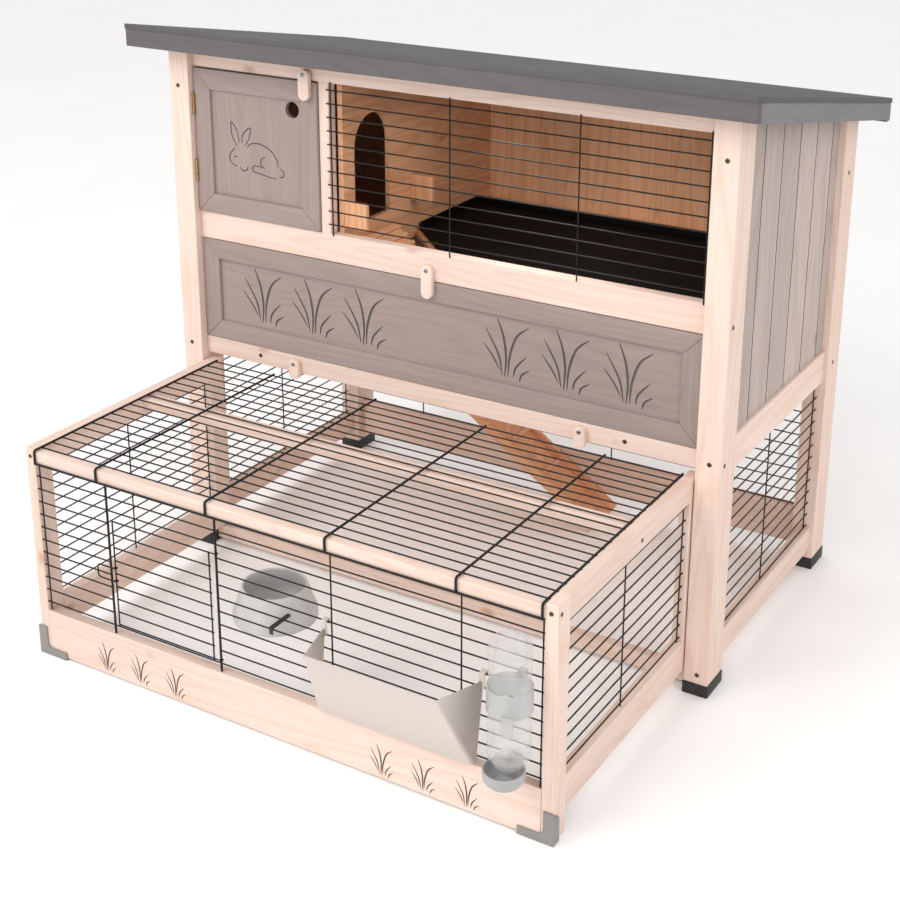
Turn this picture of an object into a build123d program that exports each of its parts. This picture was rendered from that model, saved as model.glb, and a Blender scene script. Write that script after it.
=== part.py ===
"""A two-storey wooden rabbit hutch with a wire run in front, in millimetres.

+X is to the right, +Y to the back and +Z up. The origin is on the floor, under the middle of the
hutch's bounding box.
"""
import os

from build123d import *

# Cabinet
CABINET_HALF_WIDTH = 545.0
CABINET_FRONT = -35.0
CABINET_DEPTH = 577.0
POST_WIDTH = 42.6
POST_DEPTH = 62.9
POST_CAP_HEIGHT = 23.0
CAP_WALL = 1.5
CAP_FLOOR = 2.0
RAIL_THICKNESS = 20.0
RAIL_SETBACK = 17.0
BOARD_WIDTH = 83.5
GROOVE_HALF_WIDTH = 1.6
GROOVE_DEPTH = 2.2
FIRST_SIDE_GROOVE_Y = 107.0
EDGE_BREAK = 1.0

# Levels, from the floor up
SILL_RAIL_Z = (8.0, 36.0)
SIDE_BOTTOM_RAIL_Z = (40.0, 88.0)
BACK_BOARD_Z = (36.0, 113.0)
SIDE_MID_RAIL_Z = (386.0, 447.0)
FRONT_BOTTOM_RAIL_Z = (402.0, 435.0)
MID_FLOOR_Z = (425.0, 435.0)
UPPER_FLOOR_Z = (615.0, 625.0)
FRONT_MID_RAIL_Z = (631.0, 682.0)
FRONT_TOP_RAIL_Z = (951.0, 998.0)
PARTITION_X = (-203.0, -193.0)
MID_POST_X = (-228.0, -207.0)
WINDOW_STILE_X = (493.0, 502.4)

# Roof
ROOF_HALF_WIDTH = 590.3
ROOF_FRONT = -95.5
ROOF_BACK = 581.4
ROOF_FRONT_HEIGHT = 1030.6
ROOF_BACK_HEIGHT = 904.5
ROOF_SHEET = 9.3
ROOF_EDGE = 39.8
FASCIA_THICKNESS = 18.0
FASCIA_SETBACK = 1.5
ROOF_GAP = 0.6
ROOF_SLOPE = (ROOF_FRONT_HEIGHT - ROOF_BACK_HEIGHT) / (ROOF_BACK - ROOF_FRONT)

# Run
RUN_FRONT = -499.0
RUN_BACK = -3.0
RUN_HALF_WIDTH = 500.5
RUN_STICK = 20.0
RUN_POST_DEPTH = 39.0
RUN_HEIGHT = 390.0
RUN_FRONT_RAIL_Z = (366.0, 386.0)
RUN_BOARD_Z = (4.0, 88.0)
RUN_SIDE_TOP_Z = (352.0, 390.0)
RUN_SIDE_BOTTOM_Z = (40.0, 96.0)
CROSSBAR_Y = (-229.0, -201.0)
CROSSBAR_Z = (364.0, 384.0)

# Wire
WIRE = 1.2
HEAVY_WIRE = 1.6
WELD = 0.4
WIRE_PITCH = 23.9
WIRE_SIDES = 8
FIRST_ROW_DROP = 8.5

# Doors and turn buttons
DOOR_FRONT = -23.0
DOOR_THICKNESS = 20.0
DOOR_STICK = 36.0
STICK_EDGE = 0.6
PANEL_THICKNESS = 8.0
PANEL_RECESS = 6.0
NEST_DOOR_X = (-500.4, -229.0)
NEST_DOOR_Z = (684.0, 949.0)
FLAP_X = (-500.8, 500.8)
FLAP_Z = (436.0, 629.6)
VENT = (-285.5, 895.0)
VENT_RADIUS = 14.5
BUTTON_WIDTH = 22.0
BUTTON_THICKNESS = 10.0
BUTTON_GAP = 0.4
BUTTON_PIVOT_FROM_TOP = 9.0
SCREW_SHANK = 2.0
SCREW_HEAD = 4.0
SCREW_HEAD_HEIGHT = 1.6
SCREW_GAP = 0.4

INNER = CABINET_HALF_WIDTH - POST_WIDTH
POST_BACK = CABINET_FRONT + POST_DEPTH
CABINET_BACK = CABINET_FRONT + CABINET_DEPTH
REAR_POST_FRONT = CABINET_BACK - POST_DEPTH
RAIL_FRONT = CABINET_FRONT + RAIL_SETBACK
RAIL_BACK = RAIL_FRONT + RAIL_THICKNESS
SIDE_PANEL_X = (522.0, 532.0)
SIDE_RAIL_X = (518.0, 538.0)
SIDE_WIRE_X = 529.0
BACK_PANEL_Y = (520.0, 530.0)
BACK_RAIL_Y = (514.0, 534.0)
RUN_INNER = RUN_HALF_WIDTH - RUN_STICK


def roof_top(y):
    """Height of the roof's upper face."""
    return ROOF_FRONT_HEIGHT - ROOF_SLOPE * (y - ROOF_FRONT)


def roof_under(y):
    """Height of the roof sheet's lower face."""
    return roof_top(y) - ROOF_SHEET


def middle(span):
    return (span[0] + span[1]) / 2


def length(span):
    return span[1] - span[0]


def mirrored(span):
    """The same span on the left-hand side."""
    return (-span[1], -span[0])


# ---- Building blocks ------------------------------------------------------------------------

def add_block(x_span, y_span, z_span, mode=Mode.ADD):
    """A rectangular block in the part that is being built."""
    with BuildSketch(Plane.XY.offset(z_span[0])) as profile:
        with Locations((middle(x_span), middle(y_span))):
            Rectangle(length(x_span), length(y_span))
    extrude(profile.sketch, amount=length(z_span), mode=mode)


def boards(*spans, edge=EDGE_BREAK):
    """One or more planed boards, each with its edges broken."""
    with BuildPart() as wood:
        for x_span, y_span, z_span in spans:
            add_block(x_span, y_span, z_span)
        chamfer(wood.edges(), length=edge)
    return wood


def add_side_outline(points, x_span):
    """An outline in Y and Z, as thick in X as x_span."""
    with BuildSketch(Plane.YZ.offset(x_span[0])) as profile:
        with BuildLine():
            Polyline(*points, close=True)
        make_face()
    extrude(profile.sketch, amount=length(x_span))


def add_wires_x(x_span, places, radius=WIRE):
    """Straight wires along X through each (y, z)."""
    with BuildSketch(Plane.YZ.offset(x_span[0])) as profile:
        with Locations(*places):
            RegularPolygon(radius, WIRE_SIDES)
    extrude(profile.sketch, amount=length(x_span))


def add_wires_y(y_span, places, radius=WIRE):
    """Straight wires along Y through each (x, z)."""
    with BuildSketch(Plane.XZ.offset(-y_span[1])) as profile:
        with Locations(*places):
            RegularPolygon(radius, WIRE_SIDES)
    extrude(profile.sketch, amount=length(y_span))


def add_wires_z(z_span, places, radius=WIRE):
    """Straight wires along Z through each (x, y)."""
    with BuildSketch(Plane.XY.offset(z_span[0])) as profile:
        with Locations(*places):
            RegularPolygon(radius, WIRE_SIDES)
    extrude(profile.sketch, amount=length(z_span))


def add_round_y(x, z, radius, y_span, mode=Mode.ADD):
    """A round bar, or a round hole, along Y."""
    with BuildSketch(Plane.XZ.offset(-y_span[1])) as profile:
        with Locations((x, z)):
            Circle(radius)
    extrude(profile.sketch, amount=length(y_span), mode=mode)


def add_round_x(y, z, radius, x_span, mode=Mode.ADD):
    """A round bar, or a round hole, along X."""
    with BuildSketch(Plane.YZ.offset(x_span[0])) as profile:
        with Locations((y, z)):
            Circle(radius)
    extrude(profile.sketch, amount=length(x_span), mode=mode)


def add_round_z(x, y, radius, z_span, mode=Mode.ADD):
    """A round bar, or a round hole, along Z."""
    with BuildSketch(Plane.XY.offset(z_span[0])) as profile:
        with Locations((x, y)):
            Circle(radius)
    extrude(profile.sketch, amount=length(z_span), mode=mode)


def evenly(first, last, pitch):
    """Places from first towards last, one pitch apart."""
    count = int(abs(last - first) / pitch) + 1
    step = pitch if last > first else -pitch
    return [first + index * step for index in range(count)]


# ---- Cabinet frame --------------------------------------------------------------------------

FLAP_PIN_Y = RAIL_FRONT + 2.6
FLAP_PIN_Z = FLAP_Z[0] + 3.5
FLAP_PIN_RADIUS = 1.5
FLAP_PIN_REACH = 510.0
PIN_HOLE_RADIUS = 1.8
FLAP_PIN_START = 480.0
FRONT_POST_TOP = 997.5
REAR_POST_TOP = 901.5


def build_front_posts():
    outer = (INNER, CABINET_HALF_WIDTH)
    with BuildPart() as posts:
        for x_span in (outer, mirrored(outer)):
            add_block(x_span, (CABINET_FRONT, POST_BACK), (CAP_FLOOR, FRONT_POST_TOP))
        chamfer(posts.edges(), length=EDGE_BREAK)
        for x_span in ((INNER - 1, FLAP_PIN_REACH + 1), (-FLAP_PIN_REACH - 1, 1 - INNER)):
            add_round_x(FLAP_PIN_Y, FLAP_PIN_Z, PIN_HOLE_RADIUS, x_span, Mode.SUBTRACT)
    return posts


def build_rear_posts():
    outer = (INNER, CABINET_HALF_WIDTH)
    y_span = (REAR_POST_FRONT, CABINET_BACK)
    z_span = (CAP_FLOOR, REAR_POST_TOP)
    return boards((outer, y_span, z_span), (mirrored(outer), y_span, z_span))


def build_foot_caps():
    """Moulded shoes that keep the posts' ends off wet ground."""
    outer = (INNER, CABINET_HALF_WIDTH)
    with BuildPart() as caps:
        for y_span in ((CABINET_FRONT, POST_BACK), (REAR_POST_FRONT, CABINET_BACK)):
            for x_span in (outer, mirrored(outer)):
                around_x = (x_span[0] - CAP_WALL, x_span[1] + CAP_WALL)
                around_y = (y_span[0] - CAP_WALL, y_span[1] + CAP_WALL)
                add_block(around_x, around_y, (0, POST_CAP_HEIGHT))
                add_block(x_span, y_span, (CAP_FLOOR, POST_CAP_HEIGHT), Mode.SUBTRACT)
    return caps


def front_rail(z_span, half_width=INNER):
    return boards(((-half_width, half_width), (RAIL_FRONT, RAIL_BACK), z_span))


def build_front_uprights():
    """The post between nest and window, and the narrow stile at the window's other end."""
    z_span = (FRONT_MID_RAIL_Z[1], FRONT_TOP_RAIL_Z[0])
    y_span = (RAIL_FRONT, RAIL_BACK)
    return boards((MID_POST_X, y_span, z_span), (WINDOW_STILE_X, y_span, z_span))


def build_window_mesh():
    overlap = 2.5
    x_span = (MID_POST_X[1] - overlap, WINDOW_STILE_X[0] + overlap)
    z_span = (FRONT_MID_RAIL_Z[1] - overlap, FRONT_TOP_RAIL_Z[0] + overlap)
    upright_y = RAIL_FRONT - WIRE
    cross_y = upright_y - 2 * WIRE + WELD
    rows = evenly(940.0, z_span[0], WIRE_PITCH)
    columns = (-202.0, 36.6, 275.2, 494.5)
    with BuildPart() as mesh:
        add_wires_x(x_span, [(cross_y, z) for z in rows])
        add_wires_z(z_span, [(x, upright_y) for x in columns])
    return mesh


def build_side_panel(side):
    """Tongue-and-groove boards with a V groove at each joint, under the sloping roof."""
    bottom = SIDE_MID_RAIL_Z[1]
    span = SIDE_PANEL_X if side > 0 else mirrored(SIDE_PANEL_X)
    outline = [
        (POST_BACK, bottom),
        (REAR_POST_FRONT, bottom),
        (REAR_POST_FRONT, roof_under(REAR_POST_FRONT) - ROOF_GAP),
        (POST_BACK, roof_under(POST_BACK) - ROOF_GAP),
    ]
    outer = side * SIDE_PANEL_X[1]
    with BuildPart() as panel:
        add_side_outline(outline, span)
        with BuildSketch(Plane.XY.offset(bottom)):
            for y in evenly(FIRST_SIDE_GROOVE_Y, REAR_POST_FRONT, BOARD_WIDTH):
                with BuildLine():
                    Polyline(
                        (outer, y - GROOVE_HALF_WIDTH),
                        (outer, y + GROOVE_HALF_WIDTH),
                        (outer - side * GROOVE_DEPTH, y),
                        close=True,
                    )
                make_face()
        extrude(amount=ROOF_FRONT_HEIGHT - bottom, mode=Mode.SUBTRACT)
    return panel


def build_side_rails():
    y_span = (POST_BACK, REAR_POST_FRONT)
    spans = []
    for z_span in (SIDE_BOTTOM_RAIL_Z, SIDE_MID_RAIL_Z):
        for x_span in (SIDE_RAIL_X, mirrored(SIDE_RAIL_X)):
            spans.append((x_span, y_span, z_span))
    return boards(*spans)


def build_side_grilles():
    y_span = (POST_BACK, REAR_POST_FRONT)
    z_span = (SIDE_BOTTOM_RAIL_Z[1], SIDE_MID_RAIL_Z[0])
    rows = evenly(z_span[1] - FIRST_ROW_DROP, z_span[0], WIRE_PITCH)
    columns = (33.0, 241.0, 469.0)
    upright_x = SIDE_WIRE_X - 2 * WIRE + WELD
    with BuildPart() as grilles:
        for side in (-1, 1):
            add_wires_y(y_span, [(side * SIDE_WIRE_X, z) for z in rows])
            add_wires_z(z_span, [(side * upright_x, y) for y in columns])
    return grilles


def build_back_panel():
    """Upright tongue-and-groove boards between the rear posts."""
    bottom = SIDE_MID_RAIL_Z[1]
    outline = [
        (BACK_PANEL_Y[0], bottom),
        (BACK_PANEL_Y[1], bottom),
        (BACK_PANEL_Y[1], roof_under(BACK_PANEL_Y[1]) - ROOF_GAP),
        (BACK_PANEL_Y[0], roof_under(BACK_PANEL_Y[0]) - ROOF_GAP),
    ]
    outer = BACK_PANEL_Y[1]
    with BuildPart() as panel:
        add_side_outline(outline, (-INNER, INNER))
        with BuildSketch(Plane.XY.offset(bottom)):
            for x in evenly(-5 * BOARD_WIDTH, INNER, BOARD_WIDTH):
                with BuildLine():
                    Polyline(
                        (x - GROOVE_HALF_WIDTH, outer),
                        (x + GROOVE_HALF_WIDTH, outer),
                        (x, outer - GROOVE_DEPTH),
                        close=True,
                    )
                make_face()
        extrude(amount=ROOF_FRONT_HEIGHT - bottom, mode=Mode.SUBTRACT)
    return panel


def build_back_grille():
    z_span = (BACK_BOARD_Z[1], SIDE_MID_RAIL_Z[0])
    cross_y = 509.0
    upright_y = cross_y - 2 * WIRE + WELD
    rows = evenly(z_span[1] - FIRST_ROW_DROP, z_span[0], WIRE_PITCH)
    columns = (-348.0, -121.0, 105.0, 332.0)
    with BuildPart() as grille:
        add_wires_x((-INNER, INNER), [(cross_y, z) for z in rows])
        add_wires_z(z_span, [(x, upright_y) for x in columns])
    return grille


# ---- Floors, partition and ramps ------------------------------------------------------------

TRAY_HEIGHT = 15.0
TRAY_WALL = 2.0
LOWER_RAMP_Y = (390.0, 498.0)
UPPER_RAMP_Y = (10.0, 155.0)
RAMP_HOLE = [(PARTITION_X[1], 5.0), (45.0, 5.0), (PARTITION_X[1], 236.0)]
ARCH_Y = (37.0, 149.0)
ARCH_SILL = 686.0
ARCH_SPRING = 825.0


def floor_outline(reach, back):
    """A floor's outline, notched round the four posts."""
    front = RAIL_BACK
    right = [
        (INNER, front),
        (INNER, POST_BACK),
        (reach, POST_BACK),
        (reach, REAR_POST_FRONT),
        (INNER, REAR_POST_FRONT),
        (INNER, back),
    ]
    left = [(-x, y) for x, y in reversed(right)]
    return right + left


def build_mid_floor():
    hole_x = (-501.5, -300.0)
    with BuildPart() as floor:
        with BuildSketch(Plane.XY.offset(MID_FLOOR_Z[0])):
            with BuildLine():
                Polyline(*floor_outline(SIDE_RAIL_X[0], BACK_RAIL_Y[0]), close=True)
            make_face()
            with Locations((middle(hole_x), middle(LOWER_RAMP_Y))):
                Rectangle(length(hole_x), length(LOWER_RAMP_Y) + 4, mode=Mode.SUBTRACT)
        extrude(amount=length(MID_FLOOR_Z))
    return floor


def build_upper_floor():
    with BuildPart() as floor:
        with BuildSketch(Plane.XY.offset(UPPER_FLOOR_Z[0])):
            with BuildLine():
                Polyline(*floor_outline(SIDE_PANEL_X[0], BACK_PANEL_Y[0]), close=True)
            make_face()
            with BuildLine():
                Polyline(*RAMP_HOLE, close=True)
            make_face(mode=Mode.SUBTRACT)
        extrude(amount=length(UPPER_FLOOR_Z))
    return floor


def build_tray():
    """A low pan over the living area's floor, cut off at the corner where the ramp comes up."""
    left = PARTITION_X[1] + 3.0
    right = INNER - 4.0
    front = RAIL_BACK + 3.0
    back = 470.0
    outline = [(left, 246.0), (57.0, front), (right, front), (right, back), (left, back)]
    with BuildPart() as tray:
        with BuildSketch(Plane.XY.offset(UPPER_FLOOR_Z[1])):
            with BuildLine():
                Polyline(*outline, close=True)
            make_face()
        extrude(amount=TRAY_HEIGHT)
        offset(amount=-TRAY_WALL, openings=tray.faces().sort_by(Axis.Z)[-1])
    return tray


def build_partition():
    back = BACK_PANEL_Y[0]
    front = RAIL_BACK
    bottom = UPPER_FLOOR_Z[1]
    outline = [
        (front, bottom),
        (back, bottom),
        (back, roof_under(back) - ROOF_GAP),
        (front, roof_under(front) - ROOF_GAP),
    ]
    centre = middle(ARCH_Y)
    with BuildPart() as wall:
        add_side_outline(outline, PARTITION_X)
        with BuildSketch(Plane.YZ.offset(PARTITION_X[0])):
            with BuildLine():
                Polyline(
                    (ARCH_Y[0], ARCH_SPRING),
                    (ARCH_Y[0], ARCH_SILL),
                    (ARCH_Y[1], ARCH_SILL),
                    (ARCH_Y[1], ARCH_SPRING),
                )
                CenterArc((centre, ARCH_SPRING), length(ARCH_Y) / 2, 0, 180)
            make_face()
        extrude(amount=length(PARTITION_X), mode=Mode.SUBTRACT)
    return wall


def build_arch_guards():
    """Two short boards beside the arch that keep an animal off the ramp hole's edge."""
    x_span = (PARTITION_X[1], -145.0)
    z_span = (690.0, 740.0)
    return boards((x_span, (RAIL_BACK, 10.0), z_span), (x_span, (216.0, 224.0), z_span))


def build_ramp(top, run, slope, y_span, thickness, tread_pitch, tread, rail_width):
    """A sloping board with treads across it and, where rail_width isn't 0, a rail up each side."""
    rail_height = 12.0
    rail_middle = 5.0
    sunk = 0.2
    direction = Vector(1, 0, -slope).normalized()
    board_length = run / direction.X
    plane = Plane(origin=(top[0], y_span[1], top[1]), x_dir=direction, z_dir=(0, -1, 0))
    with BuildPart() as ramp:
        with BuildSketch(plane):
            with Locations((board_length / 2, -thickness / 2)):
                Rectangle(board_length, thickness)
        extrude(amount=length(y_span))
        places = evenly(tread_pitch / 2, board_length - tread, tread_pitch)
        with BuildSketch(plane):
            with Locations(*[(along, (tread - sunk) / 2) for along in places]):
                Rectangle(tread * 1.4, tread + sunk)
        extrude(amount=length(y_span))
        if rail_width:
            for rail_top in (y_span[1], y_span[0] + rail_width):
                rail_plane = Plane(origin=(top[0], rail_top, top[1]), x_dir=direction, z_dir=(0, -1, 0))
                with BuildSketch(rail_plane):
                    with Locations((board_length / 2, rail_middle)):
                        Rectangle(board_length, rail_height)
                extrude(amount=rail_width)
    return ramp


def build_upper_ramp():
    """From the arch's sill down to the middle floor."""
    return build_ramp((-186.0, 662.0), 266.0, 0.824, UPPER_RAMP_Y, 8.0, 20.0, 5.0, 0)


def build_lower_ramp():
    """From the hole in the middle floor down to the ground."""
    return build_ramp((-494.0, 434.0), 614.0, 0.69, LOWER_RAMP_Y, 9.0, 92.0, 6.0, 9.0)


# ---- Roof -----------------------------------------------------------------------------------

ROOF_HINGE_X = 523.0
ROOF_HINGE_WIDTH = 36.0
ROOF_HINGE_Y = CABINET_BACK + 3.4
ROOF_HINGE_Z = 898.9
ROOF_KNUCKLE = 2.5
LEAF = 1.2
ROOF_LEAF_BOTTOM = 868.0
ROOF_LEAF_NOTCH = 890.0
HINGE_PIN = 1.2
PIN_CLEARANCE = 0.1
KNUCKLE_GAP = 0.3


def build_roof_sheet():
    outline = [
        (ROOF_FRONT, roof_top(ROOF_FRONT)),
        (ROOF_BACK, roof_top(ROOF_BACK)),
        (ROOF_BACK, roof_under(ROOF_BACK)),
        (ROOF_FRONT, roof_under(ROOF_FRONT)),
    ]
    with BuildPart() as sheet:
        add_side_outline(outline, (-ROOF_HALF_WIDTH, ROOF_HALF_WIDTH))
    return sheet


def fascia_outline(y_span, bottom):
    return [
        (y_span[0], bottom(y_span[0])),
        (y_span[1], bottom(y_span[1])),
        (y_span[1], roof_under(y_span[1])),
        (y_span[0], roof_under(y_span[0])),
    ]


FRONT_FASCIA_Y = (ROOF_FRONT + FASCIA_SETBACK, ROOF_FRONT + FASCIA_SETBACK + FASCIA_THICKNESS)
BACK_FASCIA_Y = (ROOF_BACK - FASCIA_SETBACK - FASCIA_THICKNESS, ROOF_BACK - FASCIA_SETBACK)
SIDE_FASCIA_X = (ROOF_HALF_WIDTH - FASCIA_SETBACK - FASCIA_THICKNESS, ROOF_HALF_WIDTH - FASCIA_SETBACK)


def build_roof_front_fascia():
    level = ROOF_FRONT_HEIGHT - ROOF_EDGE
    with BuildPart() as fascia:
        outline = fascia_outline(FRONT_FASCIA_Y, lambda y: level)
        add_side_outline(outline, (-SIDE_FASCIA_X[1], SIDE_FASCIA_X[1]))
    return fascia


def build_roof_edge_fascias():
    """The two side boards and the back board."""
    back_level = ROOF_BACK_HEIGHT - ROOF_EDGE
    joint = 0.2
    side_y = (FRONT_FASCIA_Y[1] + joint, BACK_FASCIA_Y[0] - joint)
    back_outline = fascia_outline(BACK_FASCIA_Y, lambda y: back_level)
    side_outline = fascia_outline(side_y, lambda y: roof_top(y) - ROOF_EDGE)
    with BuildPart() as fascias:
        add_side_outline(back_outline, (-SIDE_FASCIA_X[1], SIDE_FASCIA_X[1]))
        for x_span in (SIDE_FASCIA_X, mirrored(SIDE_FASCIA_X)):
            add_side_outline(side_outline, x_span)
    return fascias


def knuckle_spans(centre, width):
    """The outer two knuckles of a hinge, and the middle one between them."""
    third = width / 3
    low = centre - width / 2
    outer = ((low, low + third), (low + 2 * third, low + width))
    inner = (low + third + KNUCKLE_GAP, low + 2 * third - KNUCKLE_GAP)
    return outer, inner


def build_roof_hinge_fixed():
    leaf_y = (CABINET_BACK, CABINET_BACK + LEAF)
    with BuildPart() as hinges:
        for centre in (-ROOF_HINGE_X, ROOF_HINGE_X):
            outer, inner = knuckle_spans(centre, ROOF_HINGE_WIDTH)
            whole = (centre - ROOF_HINGE_WIDTH / 2, centre + ROOF_HINGE_WIDTH / 2)
            add_block(whole, leaf_y, (ROOF_LEAF_BOTTOM, ROOF_HINGE_Z - ROOF_KNUCKLE - 2 * KNUCKLE_GAP))
            for x_span in outer:
                add_block(x_span, leaf_y, (ROOF_LEAF_NOTCH, ROOF_HINGE_Z))
                add_round_x(ROOF_HINGE_Y, ROOF_HINGE_Z, ROOF_KNUCKLE, x_span)
            add_round_x(ROOF_HINGE_Y, ROOF_HINGE_Z, HINGE_PIN, whole)
    return hinges


def build_roof_hinge_moving():
    tab_end = ROOF_HINGE_Y + ROOF_KNUCKLE + 3 * KNUCKLE_GAP
    leaf_end = BACK_FASCIA_Y[0] - 1.0
    with BuildPart() as hinges:
        for centre in (-ROOF_HINGE_X, ROOF_HINGE_X):
            outer, inner = knuckle_spans(centre, ROOF_HINGE_WIDTH)
            whole = (centre - ROOF_HINGE_WIDTH / 2, centre + ROOF_HINGE_WIDTH / 2)
            for x_span, y_span in ((whole, (tab_end, leaf_end)), (inner, (ROOF_HINGE_Y, leaf_end))):
                outline = [(y, roof_under(y)) for y in y_span]
                outline += [(y, roof_under(y) - LEAF) for y in reversed(y_span)]
                add_side_outline(outline, x_span)
            add_round_x(ROOF_HINGE_Y, ROOF_HINGE_Z, ROOF_KNUCKLE, inner)
            add_round_x(ROOF_HINGE_Y, ROOF_HINGE_Z, HINGE_PIN + PIN_CLEARANCE, whole, Mode.SUBTRACT)
    return hinges


# ---- Nest door and flap ---------------------------------------------------------------------

NEST_AXIS_X = -499.8
NEST_AXIS_Y = DOOR_FRONT - 2.8
NEST_KNUCKLE = 2.4
NEST_HINGE_HEIGHT = 40.0
NEST_HINGE_Z = (761.0, 884.0)
NEST_LEAF = 0.9
NEST_LEAF_Y = (NEST_AXIS_Y + 3.0, NEST_AXIS_Y + 15.8)


def mitred_frame(x_span, z_span, y_span):
    """Four sticks with mitred corners round a rectangular opening."""
    x0, x1 = x_span
    z0, z1 = z_span
    stick = DOOR_STICK
    sticks = [
        [(x0, z0), (x1, z0), (x1 - stick, z0 + stick), (x0 + stick, z0 + stick)],
        [(x1, z0), (x1, z1), (x1 - stick, z1 - stick), (x1 - stick, z0 + stick)],
        [(x1, z1), (x0, z1), (x0 + stick, z1 - stick), (x1 - stick, z1 - stick)],
        [(x0, z1), (x0, z0), (x0 + stick, z0 + stick), (x0 + stick, z1 - stick)],
    ]
    made = []
    for corners in sticks:
        with BuildPart() as stick_part:
            with BuildSketch(Plane.XZ.offset(-y_span[1])):
                with BuildLine():
                    Polyline(*corners, close=True)
                make_face()
            extrude(amount=length(y_span))
            chamfer(stick_part.edges(), length=STICK_EDGE)
        made.append(stick_part.part)
    return made


def build_nest_door_frame():
    with BuildPart() as frame:
        add(mitred_frame(NEST_DOOR_X, NEST_DOOR_Z, (DOOR_FRONT, DOOR_FRONT + DOOR_THICKNESS)))
    return frame


def door_panel(x_span, z_span, front):
    inside_x = (x_span[0] + DOOR_STICK, x_span[1] - DOOR_STICK)
    inside_z = (z_span[0] + DOOR_STICK, z_span[1] - DOOR_STICK)
    y_span = (front + PANEL_RECESS, front + PANEL_RECESS + PANEL_THICKNESS)
    add_block(inside_x, y_span, inside_z)


def build_nest_door_panel():
    with BuildPart() as panel:
        door_panel(NEST_DOOR_X, NEST_DOOR_Z, DOOR_FRONT)
        add_round_y(VENT[0], VENT[1], VENT_RADIUS, (DOOR_FRONT, DOOR_FRONT + DOOR_THICKNESS), Mode.SUBTRACT)
    return panel


def build_nest_hinge_fixed():
    leaf_x = (-INNER, NEST_LEAF - INNER)
    with BuildPart() as hinges:
        for centre in NEST_HINGE_Z:
            outer, inner = knuckle_spans(centre, NEST_HINGE_HEIGHT)
            whole = (centre - NEST_HINGE_HEIGHT / 2, centre + NEST_HINGE_HEIGHT / 2)
            add_block(leaf_x, NEST_LEAF_Y, whole)
            for z_span in outer:
                add_block(leaf_x, (NEST_AXIS_Y, NEST_LEAF_Y[1]), z_span)
                add_round_z(NEST_AXIS_X, NEST_AXIS_Y, NEST_KNUCKLE, z_span)
            add_round_z(NEST_AXIS_X, NEST_AXIS_Y, HINGE_PIN, whole)
    return hinges


def build_nest_hinge_moving():
    leaf_x = (NEST_DOOR_X[0] - NEST_LEAF, NEST_DOOR_X[0])
    with BuildPart() as hinges:
        for centre in NEST_HINGE_Z:
            outer, inner = knuckle_spans(centre, NEST_HINGE_HEIGHT)
            whole = (centre - NEST_HINGE_HEIGHT / 2, centre + NEST_HINGE_HEIGHT / 2)
            add_block(leaf_x, NEST_LEAF_Y, whole)
            add_block(leaf_x, (NEST_AXIS_Y, NEST_LEAF_Y[1]), inner)
            add_round_z(NEST_AXIS_X, NEST_AXIS_Y, NEST_KNUCKLE, inner)
            add_round_z(NEST_AXIS_X, NEST_AXIS_Y, HINGE_PIN + PIN_CLEARANCE, whole, Mode.SUBTRACT)
    return hinges


def build_flap_frame():
    with BuildPart() as frame:
        add(mitred_frame(FLAP_X, FLAP_Z, (RAIL_FRONT, RAIL_FRONT + DOOR_THICKNESS)))
        for x_span in ((FLAP_PIN_START, FLAP_X[1] + 1), (FLAP_X[0] - 1, -FLAP_PIN_START)):
            add_round_x(FLAP_PIN_Y, FLAP_PIN_Z, FLAP_PIN_RADIUS, x_span, Mode.SUBTRACT)
    return frame


def build_flap_panel():
    with BuildPart() as panel:
        door_panel(FLAP_X, FLAP_Z, RAIL_FRONT)
    return panel


def build_flap_pins():
    with BuildPart() as pins:
        for x_span in ((FLAP_PIN_START, FLAP_PIN_REACH), (-FLAP_PIN_REACH, -FLAP_PIN_START)):
            add_round_x(FLAP_PIN_Y, FLAP_PIN_Z, FLAP_PIN_RADIUS, x_span)
    return pins


# ---- Turn buttons and screws ----------------------------------------------------------------

NEST_BUTTON = (-249.0, 972.0, 54.0, DOOR_FRONT)
FLAP_BUTTON = (-5.0, 661.0, 60.0, RAIL_FRONT)
RUN_BUTTON_LEFT = (-293.0, 431.0, 39.0, RAIL_FRONT)
RUN_BUTTON_RIGHT = (292.0, 431.0, 39.0, RAIL_FRONT)
BUTTONS = (NEST_BUTTON, FLAP_BUTTON, RUN_BUTTON_LEFT, RUN_BUTTON_RIGHT)


def build_turn_button(button):
    """A wooden catch with rounded ends that turns on one screw."""
    x, top, height, face = button
    back = face - BUTTON_GAP
    front = back - BUTTON_THICKNESS
    with BuildPart() as catch:
        with BuildSketch(Plane.XZ.offset(-back)):
            with Locations((x, top - height / 2)):
                RectangleRounded(BUTTON_WIDTH, height, BUTTON_WIDTH / 2 - 0.5)
        extrude(amount=BUTTON_THICKNESS)
        chamfer(catch.faces().sort_by(Axis.Y)[0].edges(), length=0.8)
        pivot = top - BUTTON_PIVOT_FROM_TOP
        add_round_y(x, pivot, SCREW_SHANK + SCREW_GAP, (front - 1, back + 1), Mode.SUBTRACT)
    return catch


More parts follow.
